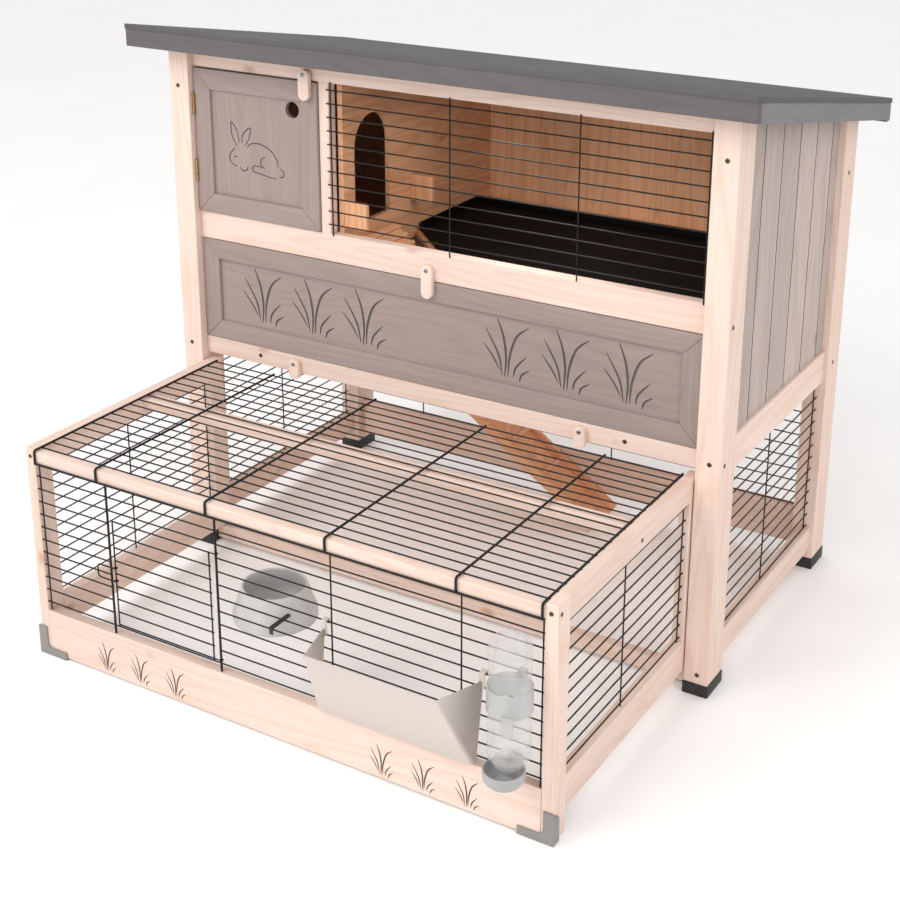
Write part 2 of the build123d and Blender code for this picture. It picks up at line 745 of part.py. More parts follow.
def build_frame_screws():
    """The turn buttons' pivot screws, and the heads of the screws that hold the frame."""
    post_x = 526.0
    post_heights = (38.7, 422.0, 916.0)
    lid_stop_x = (-375.5, 371.0)
    lid_stop_z = 419.0
    front_side_screws = (-18.5, (418.0, 651.5))
    rear_side_screws = (509.0, (417.0, 778.0))
    with BuildPart() as screws:
        for x, top, height, face in BUTTONS:
            pivot = top - BUTTON_PIVOT_FROM_TOP
            head_back = face - BUTTON_GAP - BUTTON_THICKNESS - SCREW_GAP
            add_round_y(x, pivot, SCREW_SHANK, (head_back, RAIL_FRONT))
            add_round_y(x, pivot, SCREW_HEAD, (head_back - SCREW_HEAD_HEIGHT, head_back))
        flush = (CABINET_FRONT - SCREW_HEAD_HEIGHT / 2, CABINET_FRONT)
        for z in post_heights:
            for x in (-post_x, post_x):
                add_round_y(x, z, SCREW_HEAD, flush)
        flush = (RAIL_FRONT - SCREW_HEAD_HEIGHT / 2, RAIL_FRONT)
        for x in lid_stop_x:
            add_round_y(x, lid_stop_z, SCREW_HEAD, flush)
        for side in (-1, 1):
            outer = side * CABINET_HALF_WIDTH
            x_span = tuple(sorted((outer, outer + side * SCREW_HEAD_HEIGHT / 2)))
            for y, heights in (front_side_screws, rear_side_screws):
                for z in heights:
                    add_round_x(y, z, SCREW_HEAD, x_span)
    return screws


# ---- Run ------------------------------------------------------------------------------------

RUN_POST_BACK = RUN_FRONT + RUN_POST_DEPTH
RUN_STILE_FRONT = RUN_BACK - RUN_POST_DEPTH
RUN_SIDE_X = (RUN_INNER, RUN_HALF_WIDTH)
GRILLE_Y = -497.0
GRILLE_TOP_ROW = 341.7
GRILLE_PITCH = 23.7
GRILLE_ROWS = 11
HATCH_X = (-329.3, -103.5)
HATCH_Z = (108.5, 300.0)
HATCH_AXIS = (HATCH_X[1], GRILLE_Y + WIRE + HEAVY_WIRE - WELD)
HATCH_ROWS = 9
GRILLE_UPRIGHTS = (-475.0, 117.0, 345.0, 477.0)
SIDE_UPRIGHTS_Y = (-262.0, -47.0)


def run_sides(y_span, z_span):
    """The same stick on both sides of the run."""
    return [(RUN_SIDE_X, y_span, z_span), (mirrored(RUN_SIDE_X), y_span, z_span)]


def build_run_front_posts():
    return boards(*run_sides((RUN_FRONT, RUN_POST_BACK), (0, RUN_HEIGHT)), edge=1.5)


def build_run_rear_stiles():
    return boards(*run_sides((RUN_STILE_FRONT, RUN_BACK), (RUN_SIDE_BOTTOM_Z[0], RUN_HEIGHT)))


def build_run_side_rails():
    y_span = (RUN_POST_BACK, RUN_STILE_FRONT)
    return boards(*run_sides(y_span, RUN_SIDE_BOTTOM_Z), *run_sides(y_span, RUN_SIDE_TOP_Z))


def build_run_side_grilles():
    y_span = (RUN_POST_BACK, RUN_STILE_FRONT)
    z_span = (RUN_SIDE_BOTTOM_Z[1], RUN_SIDE_TOP_Z[0])
    cross_x = middle(RUN_SIDE_X) + 3.0
    upright_x = cross_x - 2 * WIRE + WELD
    rows = evenly(z_span[1] - FIRST_ROW_DROP, z_span[0], WIRE_PITCH)
    with BuildPart() as grilles:
        for side in (-1, 1):
            add_wires_y(y_span, [(side * cross_x, z) for z in rows])
            add_wires_z(z_span, [(side * upright_x, y) for y in SIDE_UPRIGHTS_Y])
    return grilles


def build_run_corner_brackets():
    """Flat angle plates that tie each front post to the front board, and wrap the post's side."""
    plate = 3.5
    limb = 18.0
    reach = 57.0
    with BuildPart() as brackets:
        for side in (-1, 1):
            outer = RUN_HALF_WIDTH
            front_y = (RUN_FRONT - plate, RUN_FRONT)
            pieces = [
                ((outer - limb, outer + plate), front_y, (0, 54.0)),
                ((outer - reach, outer + plate), front_y, (0, 14.0)),
                ((outer, outer + plate), (RUN_FRONT - plate, RUN_FRONT + limb - plate), (0, 46.0)),
            ]
            for x_span, y_span, z_span in pieces:
                add_block(x_span if side > 0 else mirrored(x_span), y_span, z_span)
    return brackets


def grille_rows():
    return [GRILLE_TOP_ROW - row * GRILLE_PITCH for row in range(GRILLE_ROWS)]


def build_run_front_grille():
    """Wire across the run's front, left open at the hatch."""
    z_span = (RUN_BOARD_Z[1], RUN_FRONT_RAIL_Z[0])
    upright_y = GRILLE_Y + 2 * WIRE - WELD
    with BuildPart() as grille:
        for x_span in ((-RUN_INNER, HATCH_X[0]), (HATCH_X[1], RUN_INNER)):
            add_wires_x(x_span, [(GRILLE_Y, z) for z in grille_rows()])
        add_wires_z(z_span, [(x, upright_y) for x in GRILLE_UPRIGHTS])
        add_wires_z(z_span, [(x, HATCH_AXIS[1]) for x in HATCH_X], HEAVY_WIRE)
    return grille


def build_run_hatch_bars():
    """The rows above and below the hatch, between its two heavy uprights."""
    x_span = (HATCH_X[0] + HEAVY_WIRE, HATCH_X[1] - HEAVY_WIRE)
    clear_rows = [z for z in grille_rows() if not HATCH_Z[0] < z < HATCH_Z[1]]
    with BuildPart() as bars:
        add_wires_x(x_span, [(GRILLE_Y, z) for z in clear_rows])
    return bars


HATCH_GAP = 0.35
EYE_WALL = 1.8
DOOR_UPRIGHTS = (-315.4, -114.3)
LATCH_Z = (192.0, 216.0)


def build_run_wire_door():
    """A wire door that hangs on the hatch's right-hand upright by an eye at top and bottom."""
    row_pitch = length(HATCH_Z) / (HATCH_ROWS - 1)
    rows = [HATCH_Z[0] + row * row_pitch for row in range(HATCH_ROWS)]
    upright_y = GRILLE_Y - 2 * WIRE + WELD
    eye_radius = HEAVY_WIRE + HATCH_GAP + EYE_WALL
    bore = HEAVY_WIRE + HATCH_GAP
    with BuildPart() as door:
        add_wires_x((DOOR_UPRIGHTS[0] - 1, DOOR_UPRIGHTS[1] + 1), [(GRILLE_Y, z) for z in rows])
        add_wires_z((HATCH_Z[0] - 1.5, HATCH_Z[1] + 1.5), [(x, upright_y) for x in DOOR_UPRIGHTS])
        for z in (rows[0], rows[-1]):
            z_span = (z - WIRE, z + WIRE)
            arm_x = (DOOR_UPRIGHTS[1] - 1, HATCH_AXIS[0] - bore - EYE_WALL / 2)
            add_block(arm_x, (GRILLE_Y - WIRE, GRILLE_Y + WIRE), z_span)
            add_round_z(HATCH_AXIS[0], HATCH_AXIS[1], eye_radius, z_span)
            add_round_z(HATCH_AXIS[0], HATCH_AXIS[1], bore, z_span, Mode.SUBTRACT)
    return door


LATCH_AXIS = (DOOR_UPRIGHTS[0], GRILLE_Y - 2 * WIRE + WELD)


def build_run_door_latch():
    """A wire loop that turns on the door's free upright and lies across the frame's."""
    reach = -352.0
    radius = WIRE
    loop_y = LATCH_AXIS[1] - WIRE - HATCH_GAP - radius
    eye = WIRE + HATCH_GAP
    with BuildPart() as latch:
        add_wires_x((reach, LATCH_AXIS[0] + 1), [(loop_y, z) for z in LATCH_Z], radius)
        add_wires_z((LATCH_Z[0] - radius, LATCH_Z[1] + radius), [(reach, loop_y)], radius)
        for z in LATCH_Z:
            z_span = (z - radius, z + radius)
            add_round_z(LATCH_AXIS[0], LATCH_AXIS[1], eye + EYE_WALL, z_span)
            add_round_z(LATCH_AXIS[0], LATCH_AXIS[1], eye, z_span, Mode.SUBTRACT)
    return latch


LID_REAR = -25.0
LID_PITCH = 24.0
LID_CROSS_Z = RUN_FRONT_RAIL_Z[1] + WIRE + 0.1
LID_HEAVY_Z = LID_CROSS_Z + WIRE + HEAVY_WIRE - WELD
LID_DROP_Y = RUN_FRONT - HEAVY_WIRE - 1.2
LID_DROP_Z = RUN_FRONT_RAIL_Z[0]
LID_HALF_WIDTH = RUN_INNER - 1.5


def build_run_top_grille():
    """The run's lid: cross wires, and heavier bars that bend down over the front rail."""
    end_bar = LID_HALF_WIDTH - HEAVY_WIRE
    bars = (-end_bar, -342.0, -115.0, 112.0, 339.0, end_bar)
    rows = evenly(LID_REAR, RUN_FRONT + 2, LID_PITCH)
    bar_y = (LID_DROP_Y - HEAVY_WIRE, LID_REAR + 2)
    with BuildPart() as lid:
        add_wires_x((-LID_HALF_WIDTH, LID_HALF_WIDTH), [(y, LID_CROSS_Z) for y in rows])
        add_wires_y(bar_y, [(x, LID_HEAVY_Z) for x in bars], HEAVY_WIRE)
        add_wires_z((LID_DROP_Z, LID_HEAVY_Z), [(x, LID_DROP_Y) for x in bars], HEAVY_WIRE)
        add_round_x(LID_DROP_Y, LID_DROP_Z, HEAVY_WIRE, (-LID_HALF_WIDTH, LID_HALF_WIDTH))
    return lid


# ---- Feeding things -------------------------------------------------------------------------

HOOK = 2.0
HOOK_CLEARANCE = 0.5
BOWL_CENTRE = (-48.0, -420.0)
BOWL_BOTTOM = 168.0
BOWL_FOOT_RADIUS = 66.0
BOWL_RIM_RADIUS = 69.0
BOWL_MOUTH_RADIUS = 53.0
BOWL_HEIGHT = 60.0
BOTTLE_CENTRE = (447.0, -535.0)
BOTTLE_BOTTOM = 127.0
BOTTLE_RADIUS = 31.0
BOTTLE_HEIGHT = 215.0
NECK_RADIUS = 9.0
NECK_GAP = 0.4
CUP_CENTRE = (447.0, -549.5)
CUP_BOTTOM = 118.0
CUP_RADIUS = 31.0
CUP_HEIGHT = 24.0
CUP_WALL = 2.5
BAND_Z = (232.0, 270.0)
BAND_WALL = 2.4
BAND_GAP = 0.1
RACK_BACK = -501.2
RACK_Z = (93.0, 236.0)
RACK_WALL = 2.0


def row_height(rows_down):
    """Height of one of the front grille's rows, counted from the top one."""
    return GRILLE_TOP_ROW - rows_down * GRILLE_PITCH


def add_revolved(centre, bottom, outline, mode=Mode.ADD):
    """A turned shape about an upright axis, from (radius, height) points."""
    origin = (centre[0], centre[1], bottom)
    plane = Plane(origin=origin, x_dir=(1, 0, 0), z_dir=(0, -1, 0))
    with BuildSketch(plane) as profile:
        with BuildLine():
            Polyline(*outline, close=True)
        make_face()
    revolve(profile.sketch, axis=Axis(origin, (0, 0, 1)), mode=mode)


def bowl_outside():
    """The bowl's outline, with a broad foot and a wall that leans in to its mouth."""
    foot = [(0, 0), (BOWL_FOOT_RADIUS, 0), (BOWL_RIM_RADIUS, 4), (BOWL_RIM_RADIUS, 14)]
    return foot + [(BOWL_MOUTH_RADIUS, BOWL_HEIGHT)]


def build_food_bowl():
    inside = [(BOWL_MOUTH_RADIUS - 4, BOWL_HEIGHT), (62, 16), (58, 8), (0, 8)]
    with BuildPart() as bowl:
        add_revolved(BOWL_CENTRE, BOWL_BOTTOM, bowl_outside() + inside)
    return bowl


def add_wire_hook(x_span, z_wire, outside, drop):
    """A strap hook that passes over one of the grille's rows and down behind it."""
    over = z_wire + WIRE + HOOK_CLEARANCE
    top = over + HOOK
    tip = z_wire - 6.0
    inside = GRILLE_Y + WIRE + 4.5
    add_block(x_span, (outside, inside), (over, top))
    add_block(x_span, (inside - HOOK, inside), (tip, top))
    add_block(x_span, (outside, outside + HOOK), (drop, top))


def build_bowl_clip():
    """A clip that joins the bowl's wall to a row of the front grille."""
    x_span = (-14.0, 8.0)
    z_wire = row_height(6)
    over = z_wire + WIRE + HOOK_CLEARANCE
    top = over + 2 * HOOK
    outside = GRILLE_Y - WIRE - HOOK_CLEARANCE - BAND_GAP
    with BuildPart() as clip:
        add_block(x_span, (outside - HOOK, BOWL_CENTRE[1] - 30.0), (over, top))
        add_block(x_span, (outside - HOOK, outside), (z_wire - 8.0, top))
        add_revolved(BOWL_CENTRE, BOWL_BOTTOM, bowl_outside() + [(0, BOWL_HEIGHT)], Mode.SUBTRACT)
    return clip


def build_water_bottle():
    """A clear bottle, standing neck down over its cup."""
    neck = [(0, 0), (NECK_RADIUS, 0), (NECK_RADIUS, 24)]
    shoulder = [(25, 30), (BOTTLE_RADIUS, 38)]
    base = [(BOTTLE_RADIUS, BOTTLE_HEIGHT - 7), (BOTTLE_RADIUS - 3, BOTTLE_HEIGHT), (0, BOTTLE_HEIGHT)]
    with BuildPart() as bottle:
        add_revolved(BOTTLE_CENTRE, BOTTLE_BOTTOM, neck + shoulder + base)
    return bottle


def build_bottle_cup():
    """The drinking cup, with the collar that the bottle's neck stands in."""
    inner = CUP_RADIUS - CUP_WALL
    outside = [(0, 0), (24, 0), (CUP_RADIUS, 12), (CUP_RADIUS, CUP_HEIGHT)]
    inside = [(inner, CUP_HEIGHT), (inner, 13), (22, 4), (0, 4)]
    collar_z = (143.0, 148.0)
    with BuildPart() as cup:
        add_revolved(CUP_CENTRE, CUP_BOTTOM, outside + inside)
        add_block((437.0, 457.0), (-519.5, -512.0), (128.0, collar_z[1]))
        with BuildSketch(Plane.XY.offset(collar_z[0])):
            with Locations(BOTTLE_CENTRE):
                Circle(23.0)
                Circle(NECK_RADIUS + NECK_GAP, mode=Mode.SUBTRACT)
        extrude(amount=length(collar_z))
    return cup


def build_bottle_holder():
    """The band round the bottle, its thumb tab, and the hook that hangs it on the grille."""
    inner = BOTTLE_RADIUS + BAND_GAP
    hook_x = (441.0, 453.0)
    hook_bottom = 262.0
    hook_outside = GRILLE_Y - 3 * HOOK
    stub = (hook_outside - 1.0, hook_outside + HOOK)
    with BuildPart() as holder:
        with BuildSketch(Plane.XY.offset(BAND_Z[0])):
            with Locations(BOTTLE_CENTRE):
                Circle(inner + BAND_WALL)
                Circle(inner, mode=Mode.SUBTRACT)
        extrude(amount=length(BAND_Z))
        add_block((452.0, 470.0), (-569.0, -564.0), (206.0, 240.0))
        add_block(hook_x, stub, (hook_bottom, 277.0))
        add_wire_hook(hook_x, row_height(3), hook_outside, hook_bottom)
        add_round_z(*BOTTLE_CENTRE, inner, (200.0, 300.0), Mode.SUBTRACT)
    return holder


def end_fold(corner_x, front_lean, side_lean):
    """The plane of one of the rack's ends, which leans inwards to the front and to the bottom."""
    along_top = Vector(front_lean, -ROOF_BACK - RACK_BACK, 0)
    down = Vector(side_lean, 0, RACK_Z[0] - RACK_Z[1])
    normal = along_top.cross(down).normalized()
    return Plane(origin=(corner_x, RACK_BACK, RACK_Z[1]), x_dir=along_top, z_dir=normal)


def build_hay_rack():
    """A folded sheet trough, open at its top and towards the grille."""
    foot = 9.0
    outline = [
        (RACK_BACK, RACK_Z[0]),
        (RACK_BACK - foot, RACK_Z[0]),
        (-ROOF_BACK, RACK_Z[1]),
        (RACK_BACK, RACK_Z[1]),
    ]
    with BuildPart() as rack:
        add_side_outline(outline, (90.0, 400.0))
        split(bisect_by=end_fold(106.0, 20.0, -10.0), keep=Keep.TOP)
        split(bisect_by=end_fold(385.0, -31.0, -11.0), keep=Keep.BOTTOM)
        openings = [rack.faces().sort_by(Axis.Z)[-1], rack.faces().sort_by(Axis.Y)[-1]]
        offset(amount=-RACK_WALL, openings=openings)
        for x_span in ((103.0, 112.0), (379.0, 388.0)):
            add_wire_hook(x_span, row_height(4), RACK_BACK - HOOK, RACK_Z[1] - 12)
    return rack


# ---- Write the pieces -----------------------------------------------------------------------

pieces = {
    "front_posts": build_front_posts(),
    "rear_posts": build_rear_posts(),
    "foot_caps": build_foot_caps(),
    "front_top_rail": front_rail(FRONT_TOP_RAIL_Z),
    "front_mid_rail": front_rail(FRONT_MID_RAIL_Z),
    "front_bottom_rail": front_rail(FRONT_BOTTOM_RAIL_Z),
    "front_sill_rail": front_rail(SILL_RAIL_Z, INNER - CAP_WALL - 0.3),
    "front_uprights": build_front_uprights(),
    "window_mesh": build_window_mesh(),
    "side_panel_left": build_side_panel(-1),
    "side_panel_right": build_side_panel(1),
    "side_rails": build_side_rails(),
    "side_grilles": build_side_grilles(),
    "back_panel": build_back_panel(),
    "back_mid_rail": boards(((-INNER, INNER), BACK_RAIL_Y, SIDE_MID_RAIL_Z)),
    "back_bottom_board": boards(((-INNER, INNER), (500.0, 518.0), BACK_BOARD_Z)),
    "back_grille": build_back_grille(),
    "mid_floor": build_mid_floor(),
    "upper_floor": build_upper_floor(),
    "tray": build_tray(),
    "partition": build_partition(),
    "arch_guards": build_arch_guards(),
    "upper_ramp": build_upper_ramp(),
    "lower_ramp": build_lower_ramp(),
    "frame_screws": build_frame_screws(),
    "nest_hinge_fixed": build_nest_hinge_fixed(),
    "roof_hinge_fixed": build_roof_hinge_fixed(),
    "run_front_posts": build_run_front_posts(),
    "run_rear_stiles": build_run_rear_stiles(),
    "run_side_rails": build_run_side_rails(),
    "run_side_grilles": build_run_side_grilles(),
    "run_front_board": boards(((-RUN_INNER, RUN_INNER), (RUN_FRONT, RUN_FRONT + 18.0), RUN_BOARD_Z)),
    "run_front_rail": boards(((-RUN_INNER, RUN_INNER), (RUN_FRONT, RUN_FRONT + 18.0), RUN_FRONT_RAIL_Z)),
    "run_crossbar": boards(((-RUN_INNER, RUN_INNER), CROSSBAR_Y, CROSSBAR_Z)),
    "run_corner_brackets": build_run_corner_brackets(),
    "run_front_grille": build_run_front_grille(),
    "run_hatch_bars": build_run_hatch_bars(),
    "roof_sheet": build_roof_sheet(),
    "roof_front_fascia": build_roof_front_fascia(),
    "roof_edge_fascias": build_roof_edge_fascias(),
    "roof_hinge_moving": build_roof_hinge_moving(),
    "nest_door_frame": build_nest_door_frame(),
    "nest_door_panel": build_nest_door_panel(),
    "nest_hinge_moving": build_nest_hinge_moving(),
    "nest_button": build_turn_button(NEST_BUTTON),
    "flap_frame": build_flap_frame(),
    "flap_panel": build_flap_panel(),
    "flap_pins": build_flap_pins(),
    "flap_button": build_turn_button(FLAP_BUTTON),
    "run_top_grille": build_run_top_grille(),
    "run_button_left": build_turn_button(RUN_BUTTON_LEFT),
    "run_button_right": build_turn_button(RUN_BUTTON_RIGHT),
    "run_wire_door": build_run_wire_door(),
    "run_door_latch": build_run_door_latch(),
    "water_bottle": build_water_bottle(),
    "bottle_cup": build_bottle_cup(),
    "bottle_holder": build_bottle_holder(),
    "hay_rack": build_hay_rack(),
    "food_bowl": build_food_bowl(),
    "bowl_clip": build_bowl_clip(),
}

os.makedirs("parts", exist_ok=True)
for name, piece in pieces.items():
    piece.part.label = name
    export_step(piece.part, f"parts/{name}.step")
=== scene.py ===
import math

import bmesh
import bpy
from mathutils import Matrix, Vector


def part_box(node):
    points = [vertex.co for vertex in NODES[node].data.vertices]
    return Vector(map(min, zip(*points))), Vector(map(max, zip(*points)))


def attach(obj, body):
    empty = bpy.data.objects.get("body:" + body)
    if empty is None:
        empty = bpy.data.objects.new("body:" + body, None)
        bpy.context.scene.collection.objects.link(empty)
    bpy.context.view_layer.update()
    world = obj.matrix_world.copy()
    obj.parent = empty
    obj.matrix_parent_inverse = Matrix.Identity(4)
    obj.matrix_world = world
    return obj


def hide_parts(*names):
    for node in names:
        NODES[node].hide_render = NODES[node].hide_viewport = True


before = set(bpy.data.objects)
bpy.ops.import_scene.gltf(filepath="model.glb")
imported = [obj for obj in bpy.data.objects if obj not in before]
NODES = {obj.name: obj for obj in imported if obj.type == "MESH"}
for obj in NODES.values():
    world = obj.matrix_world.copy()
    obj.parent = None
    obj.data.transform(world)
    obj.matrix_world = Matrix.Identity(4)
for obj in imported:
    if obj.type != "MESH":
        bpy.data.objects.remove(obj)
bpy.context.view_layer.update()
MM = 0.001

scene = bpy.context.scene
scene.view_settings.view_transform = "Standard"


# ---- Places from the frame -----------------------------------------------------------------

def spans(node):
    """The x, y and z spans of a CAD node, in mm to the nearest tenth, as all the pieces are measured."""
    low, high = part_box(node)
    return [(round(a / MM, 1), round(b / MM, 1)) for a, b in zip(low, high)]


def middle(node):
    """The x and y of a CAD node's middle."""
    x_span, y_span, _ = spans(node)
    return (sum(x_span) / 2, sum(y_span) / 2)


# The y of the run's front and the x of its right side.
RUN_FRONT = spans("run_front_posts")[1][0]
RUN_SIDE = spans("run_front_posts")[0][1]


# ---- Camera, floor and light ---------------------------------------------------------------

CAMERA_PLACE = (1.3655, -2.2161, 1.5057)
CAMERA_DOWN = 19.24
CAMERA_TURN = 31.36
CAMERA_LENS = 64.02
CAMERA_SHIFT = (0.006, -0.17)

STUDIO_TINT = (1.0, 0.985, 0.978, 1)
STUDIO_STRENGTH = 0.93

# Each light's place, target, size in metres, watts and colour. The loft light hangs in the upper room.
LIGHTS = {
    "key": ((-1.6, -3.4, 3.6), (0, 0, 0.4), 2.6, 88, (1.0, 0.985, 0.975)),
    "fill": ((3.4, -1.2, 2.6), (0, 0, 0.5), 2.4, 26, (1, 1, 1)),
    "front": ((0.8, -4.0, 2.2), (0, 0, 0.8), 2.0, 30, (1, 1, 1)),
    "loft": ((0.16, 0.10, 0.90), (0.16, 0.13, 0.0), 0.26, 1.0, (1.0, 0.95, 0.9)),
}

FLOOR_HALF = 8.0


def make_camera():
    data = bpy.data.cameras.new("camera")
    data.lens = CAMERA_LENS
    data.sensor_width = 36.0
    data.shift_x, data.shift_y = CAMERA_SHIFT
    data.clip_end = 60.0
    camera = bpy.data.objects.new("camera", data)
    camera.location = CAMERA_PLACE
    camera.rotation_euler = (math.radians(90 - CAMERA_DOWN), 0, math.radians(CAMERA_TURN))
    scene.collection.objects.link(camera)
    scene.camera = camera


def make_area_light(name, place, target, size, energy, colour):
    data = bpy.data.lights.new(name, "AREA")
    data.shape = "DISK"
    data.size = size
    data.energy = energy
    data.color = colour
    light = bpy.data.objects.new(name, data)
    light.location = place
    light.rotation_euler = (Vector(target) - Vector(place)).to_track_quat("-Z", "Y").to_euler()
    scene.collection.objects.link(light)


def make_world():
    world = bpy.data.worlds.new("studio")
    world.use_nodes = True
    background = world.node_tree.nodes["Background"]
    background.inputs["Color"].default_value = STUDIO_TINT
    background.inputs["Strength"].default_value = STUDIO_STRENGTH
    scene.world = world


# ---- Material helpers ----------------------------------------------------------------------

class Graph:
    """A short way to write a material's nodes."""

    def __init__(self, name):
        self.material = bpy.data.materials.new(name)
        self.material.use_nodes = True
        self.tree = self.material.node_tree
        self.shader = self.tree.nodes["Principled BSDF"]
        self.place = self.add("ShaderNodeTexCoord").outputs["Object"]

    def add(self, kind, **settings):
        node = self.tree.nodes.new(kind)
        for key, value in settings.items():
            setattr(node, key, value)
        return node

    def link(self, source, socket):
        self.tree.links.new(source, socket)

    def feed(self, socket, value):
        if isinstance(value, bpy.types.NodeSocket):
            self.link(value, socket)
        elif hasattr(socket.default_value, "__len__") and not hasattr(value, "__len__"):
            socket.default_value = [value] * len(socket.default_value)
        else:
            socket.default_value = value

    def stretched(self, scale, shift=(0, 0, 0)):
        node = self.add("ShaderNodeMapping")
        self.link(self.place, node.inputs["Vector"])
        node.inputs["Scale"].default_value = scale
        node.inputs["Location"].default_value = shift
        return node.outputs["Vector"]

    def noise(self, vector, scale=1.0, detail=2.0, roughness=0.5, distortion=0.0):
        node = self.add("ShaderNodeTexNoise")
        self.link(vector, node.inputs["Vector"])
        node.inputs["Scale"].default_value = scale
        node.inputs["Detail"].default_value = detail
        node.inputs["Roughness"].default_value = roughness
        node.inputs["Distortion"].default_value = distortion
        return node.outputs["Fac"]

    def math(self, operation, *values):
        node = self.add("ShaderNodeMath", operation=operation)
        for socket, value in zip(node.inputs, values):
            self.feed(socket, value)
        return node.outputs[0]

    def span(self, value, low, high, out_low=0.0, out_high=1.0):
        node = self.add("ShaderNodeMapRange")
        for socket, given in zip(node.inputs, (value, low, high, out_low, out_high)):
            self.feed(socket, given)
        return node.outputs[0]

    def mix(self, factor, first, second, blend="MIX"):
        node = self.add("ShaderNodeMix", data_type="RGBA", blend_type=blend)
        self.feed(node.inputs["Factor"], factor)
        self.feed(node.inputs[6], first)
        self.feed(node.inputs[7], second)
        return node.outputs[2]

    def bump(self, height, distance, strength=1.0):
        node = self.add("ShaderNodeBump")
        node.inputs["Distance"].default_value = distance
        node.inputs["Strength"].default_value = strength
        self.link(height, node.inputs["Height"])
        self.link(node.outputs["Normal"], self.shader.inputs["Normal"])

    def out(self, **sockets):
        for name, value in sockets.items():
            self.feed(self.shader.inputs[name.replace("_", " ")], value)
        return self.material


def rgb(red, green, blue):
    """A linear colour from the 0 to 255 numbers of a screen colour."""
    def linear(value):
        value = value / 255
        return value / 12.92 if value <= 0.04045 else ((value + 0.055) / 1.055) ** 2.4
    return (linear(red), linear(green), linear(blue), 1.0)


def along(axis, lengthways, across):
    """A scale with one value along an axis and another across it."""
    return tuple(lengthways if letter == axis else across for letter in "XYZ")


BROAD_TONE = 0.06


def board_tone(g, board):
    """A slightly different tone for each board of a panel. board is (axis, first edge, width)."""
    letter, first, width = board
    axes = g.add("ShaderNodeSeparateXYZ")
    g.link(g.place, axes.inputs[0])
    index = g.math("FLOOR", g.math("DIVIDE", g.math("SUBTRACT", axes.outputs[letter], first), width))
    random_tone = g.add("ShaderNodeTexWhiteNoise", noise_dimensions="1D")
    g.link(index, random_tone.inputs["W"])
    return g.span(random_tone.outputs["Value"], 0, 1, 0.90, 1.07)


def scattered_knots(g, axis, shift, strength):
    """How dark the knots make each place. They are long along the grain."""
    cells = g.add("ShaderNodeTexVoronoi")
    cells.inputs["Scale"].default_value = 1.0
    g.link(g.stretched(along(axis, 5.0, 9.0), shift), cells.inputs["Vector"])
    return g.span(cells.outputs["Distance"], 0.035, 0.10, 0.75 * strength, 0.0)


def make_wood(name, axis, pale, ring, dark, figure=0.5, knots=1.0, board=None, seed=0.0):
    """Planed softwood: contour rings, fibres and a few knots, with the grain along one axis."""
    g = Graph(name)
    shift = (seed, seed * 1.7, seed * 0.6)
    field = g.noise(g.stretched(along(axis, 0.9, 12.0), shift), 1.0, 1.5, 0.45, 0.25)
    rings = g.math("PINGPONG", g.math("MULTIPLY", field, 17.0), 0.5)
    rings = g.math("POWER", g.math("MULTIPLY", rings, 2.0), 2.2)
    fibre = g.noise(g.stretched(along(axis, 9.0, 420.0), shift), 1.0, 3.0, 0.6)
    streak = g.noise(g.stretched(along(axis, 1.6, 60.0), shift), 1.0, 2.0, 0.5)
    broad = g.noise(g.stretched(along(axis, 1.1, 5.0), shift), 1.0, 1.0, 0.5)
    colour = g.mix(g.math("MULTIPLY", rings, figure), pale, ring)
    colour = g.mix(g.span(streak, 0.42, 0.75, 0.0, 0.35 * figure), colour, ring)
    colour = g.mix(g.span(fibre, 0.45, 0.8, 0.0, 0.4 * figure), colour, dark)
    colour = g.mix(scattered_knots(g, axis, shift, knots), colour, dark)
    shade = g.span(broad, 0.3, 0.7, 1.0 - BROAD_TONE, 1.0 + BROAD_TONE)
    if board:
        shade = g.math("MULTIPLY", shade, board_tone(g, board))
    shaded = g.add("ShaderNodeVectorMath", operation="SCALE")
    g.link(colour, shaded.inputs[0])
    g.link(shade, shaded.inputs["Scale"])
    grain = g.math("ADD", g.math("MULTIPLY", fibre, 0.7), g.math("MULTIPLY", rings, 0.3))
    g.bump(grain, 0.0005, 0.5)
    rough = g.span(fibre, 0.3, 0.8, 0.55, 0.75)
    return g.out(Base_Color=shaded.outputs[0], Roughness=rough, Specular_IOR_Level=0.25)


def make_speckled(name, base, second, grain_size, roughness, bump, metallic=0.0, shine=0.5):
    """A surface with fine mottling: felt, powder coat, zinc plate or moulded plastic, and also the painted
    shade in a screw head's recess.
    """
    g = Graph(name)
    fine = g.noise(g.stretched((1 / grain_size,) * 3), 1.0, 3.0, 0.65)
    cloud = g.noise(g.stretched((9.0, 9.0, 9.0)), 1.0, 2.0, 0.5)
    value = g.math("ADD", g.math("MULTIPLY", fine, 0.7), g.math("MULTIPLY", cloud, 0.3))
    colour = g.mix(g.span(value, 0.35, 0.65), base, second)
    g.bump(fine, bump, 0.6)
    rough = g.span(value, 0.3, 0.7, roughness - 0.06, roughness + 0.06)
    return g.out(Base_Color=colour, Roughness=rough, Metallic=metallic, Specular_IOR_Level=shine)


def make_translucent(name, tint, second, transmission, roughness, alpha=1.0):
    """Moulded see-through plastic with slight flow lines and a cloudier tint in places."""
    g = Graph(name)
    flow = g.noise(g.stretched((22.0, 22.0, 7.0)), 1.0, 2.0, 0.5, 0.6)
    colour = g.mix(g.span(flow, 0.3, 0.7), tint, second)
    g.bump(flow, 0.0008, 0.35)
    rough = g.span(flow, 0.3, 0.7, roughness, roughness + 0.08)
    g.out(Transmission_Weight=transmission, IOR=1.35, Alpha=alpha)
    return g.out(Base_Color=colour, Roughness=rough)


# ---- Materials -----------------------------------------------------------------------------

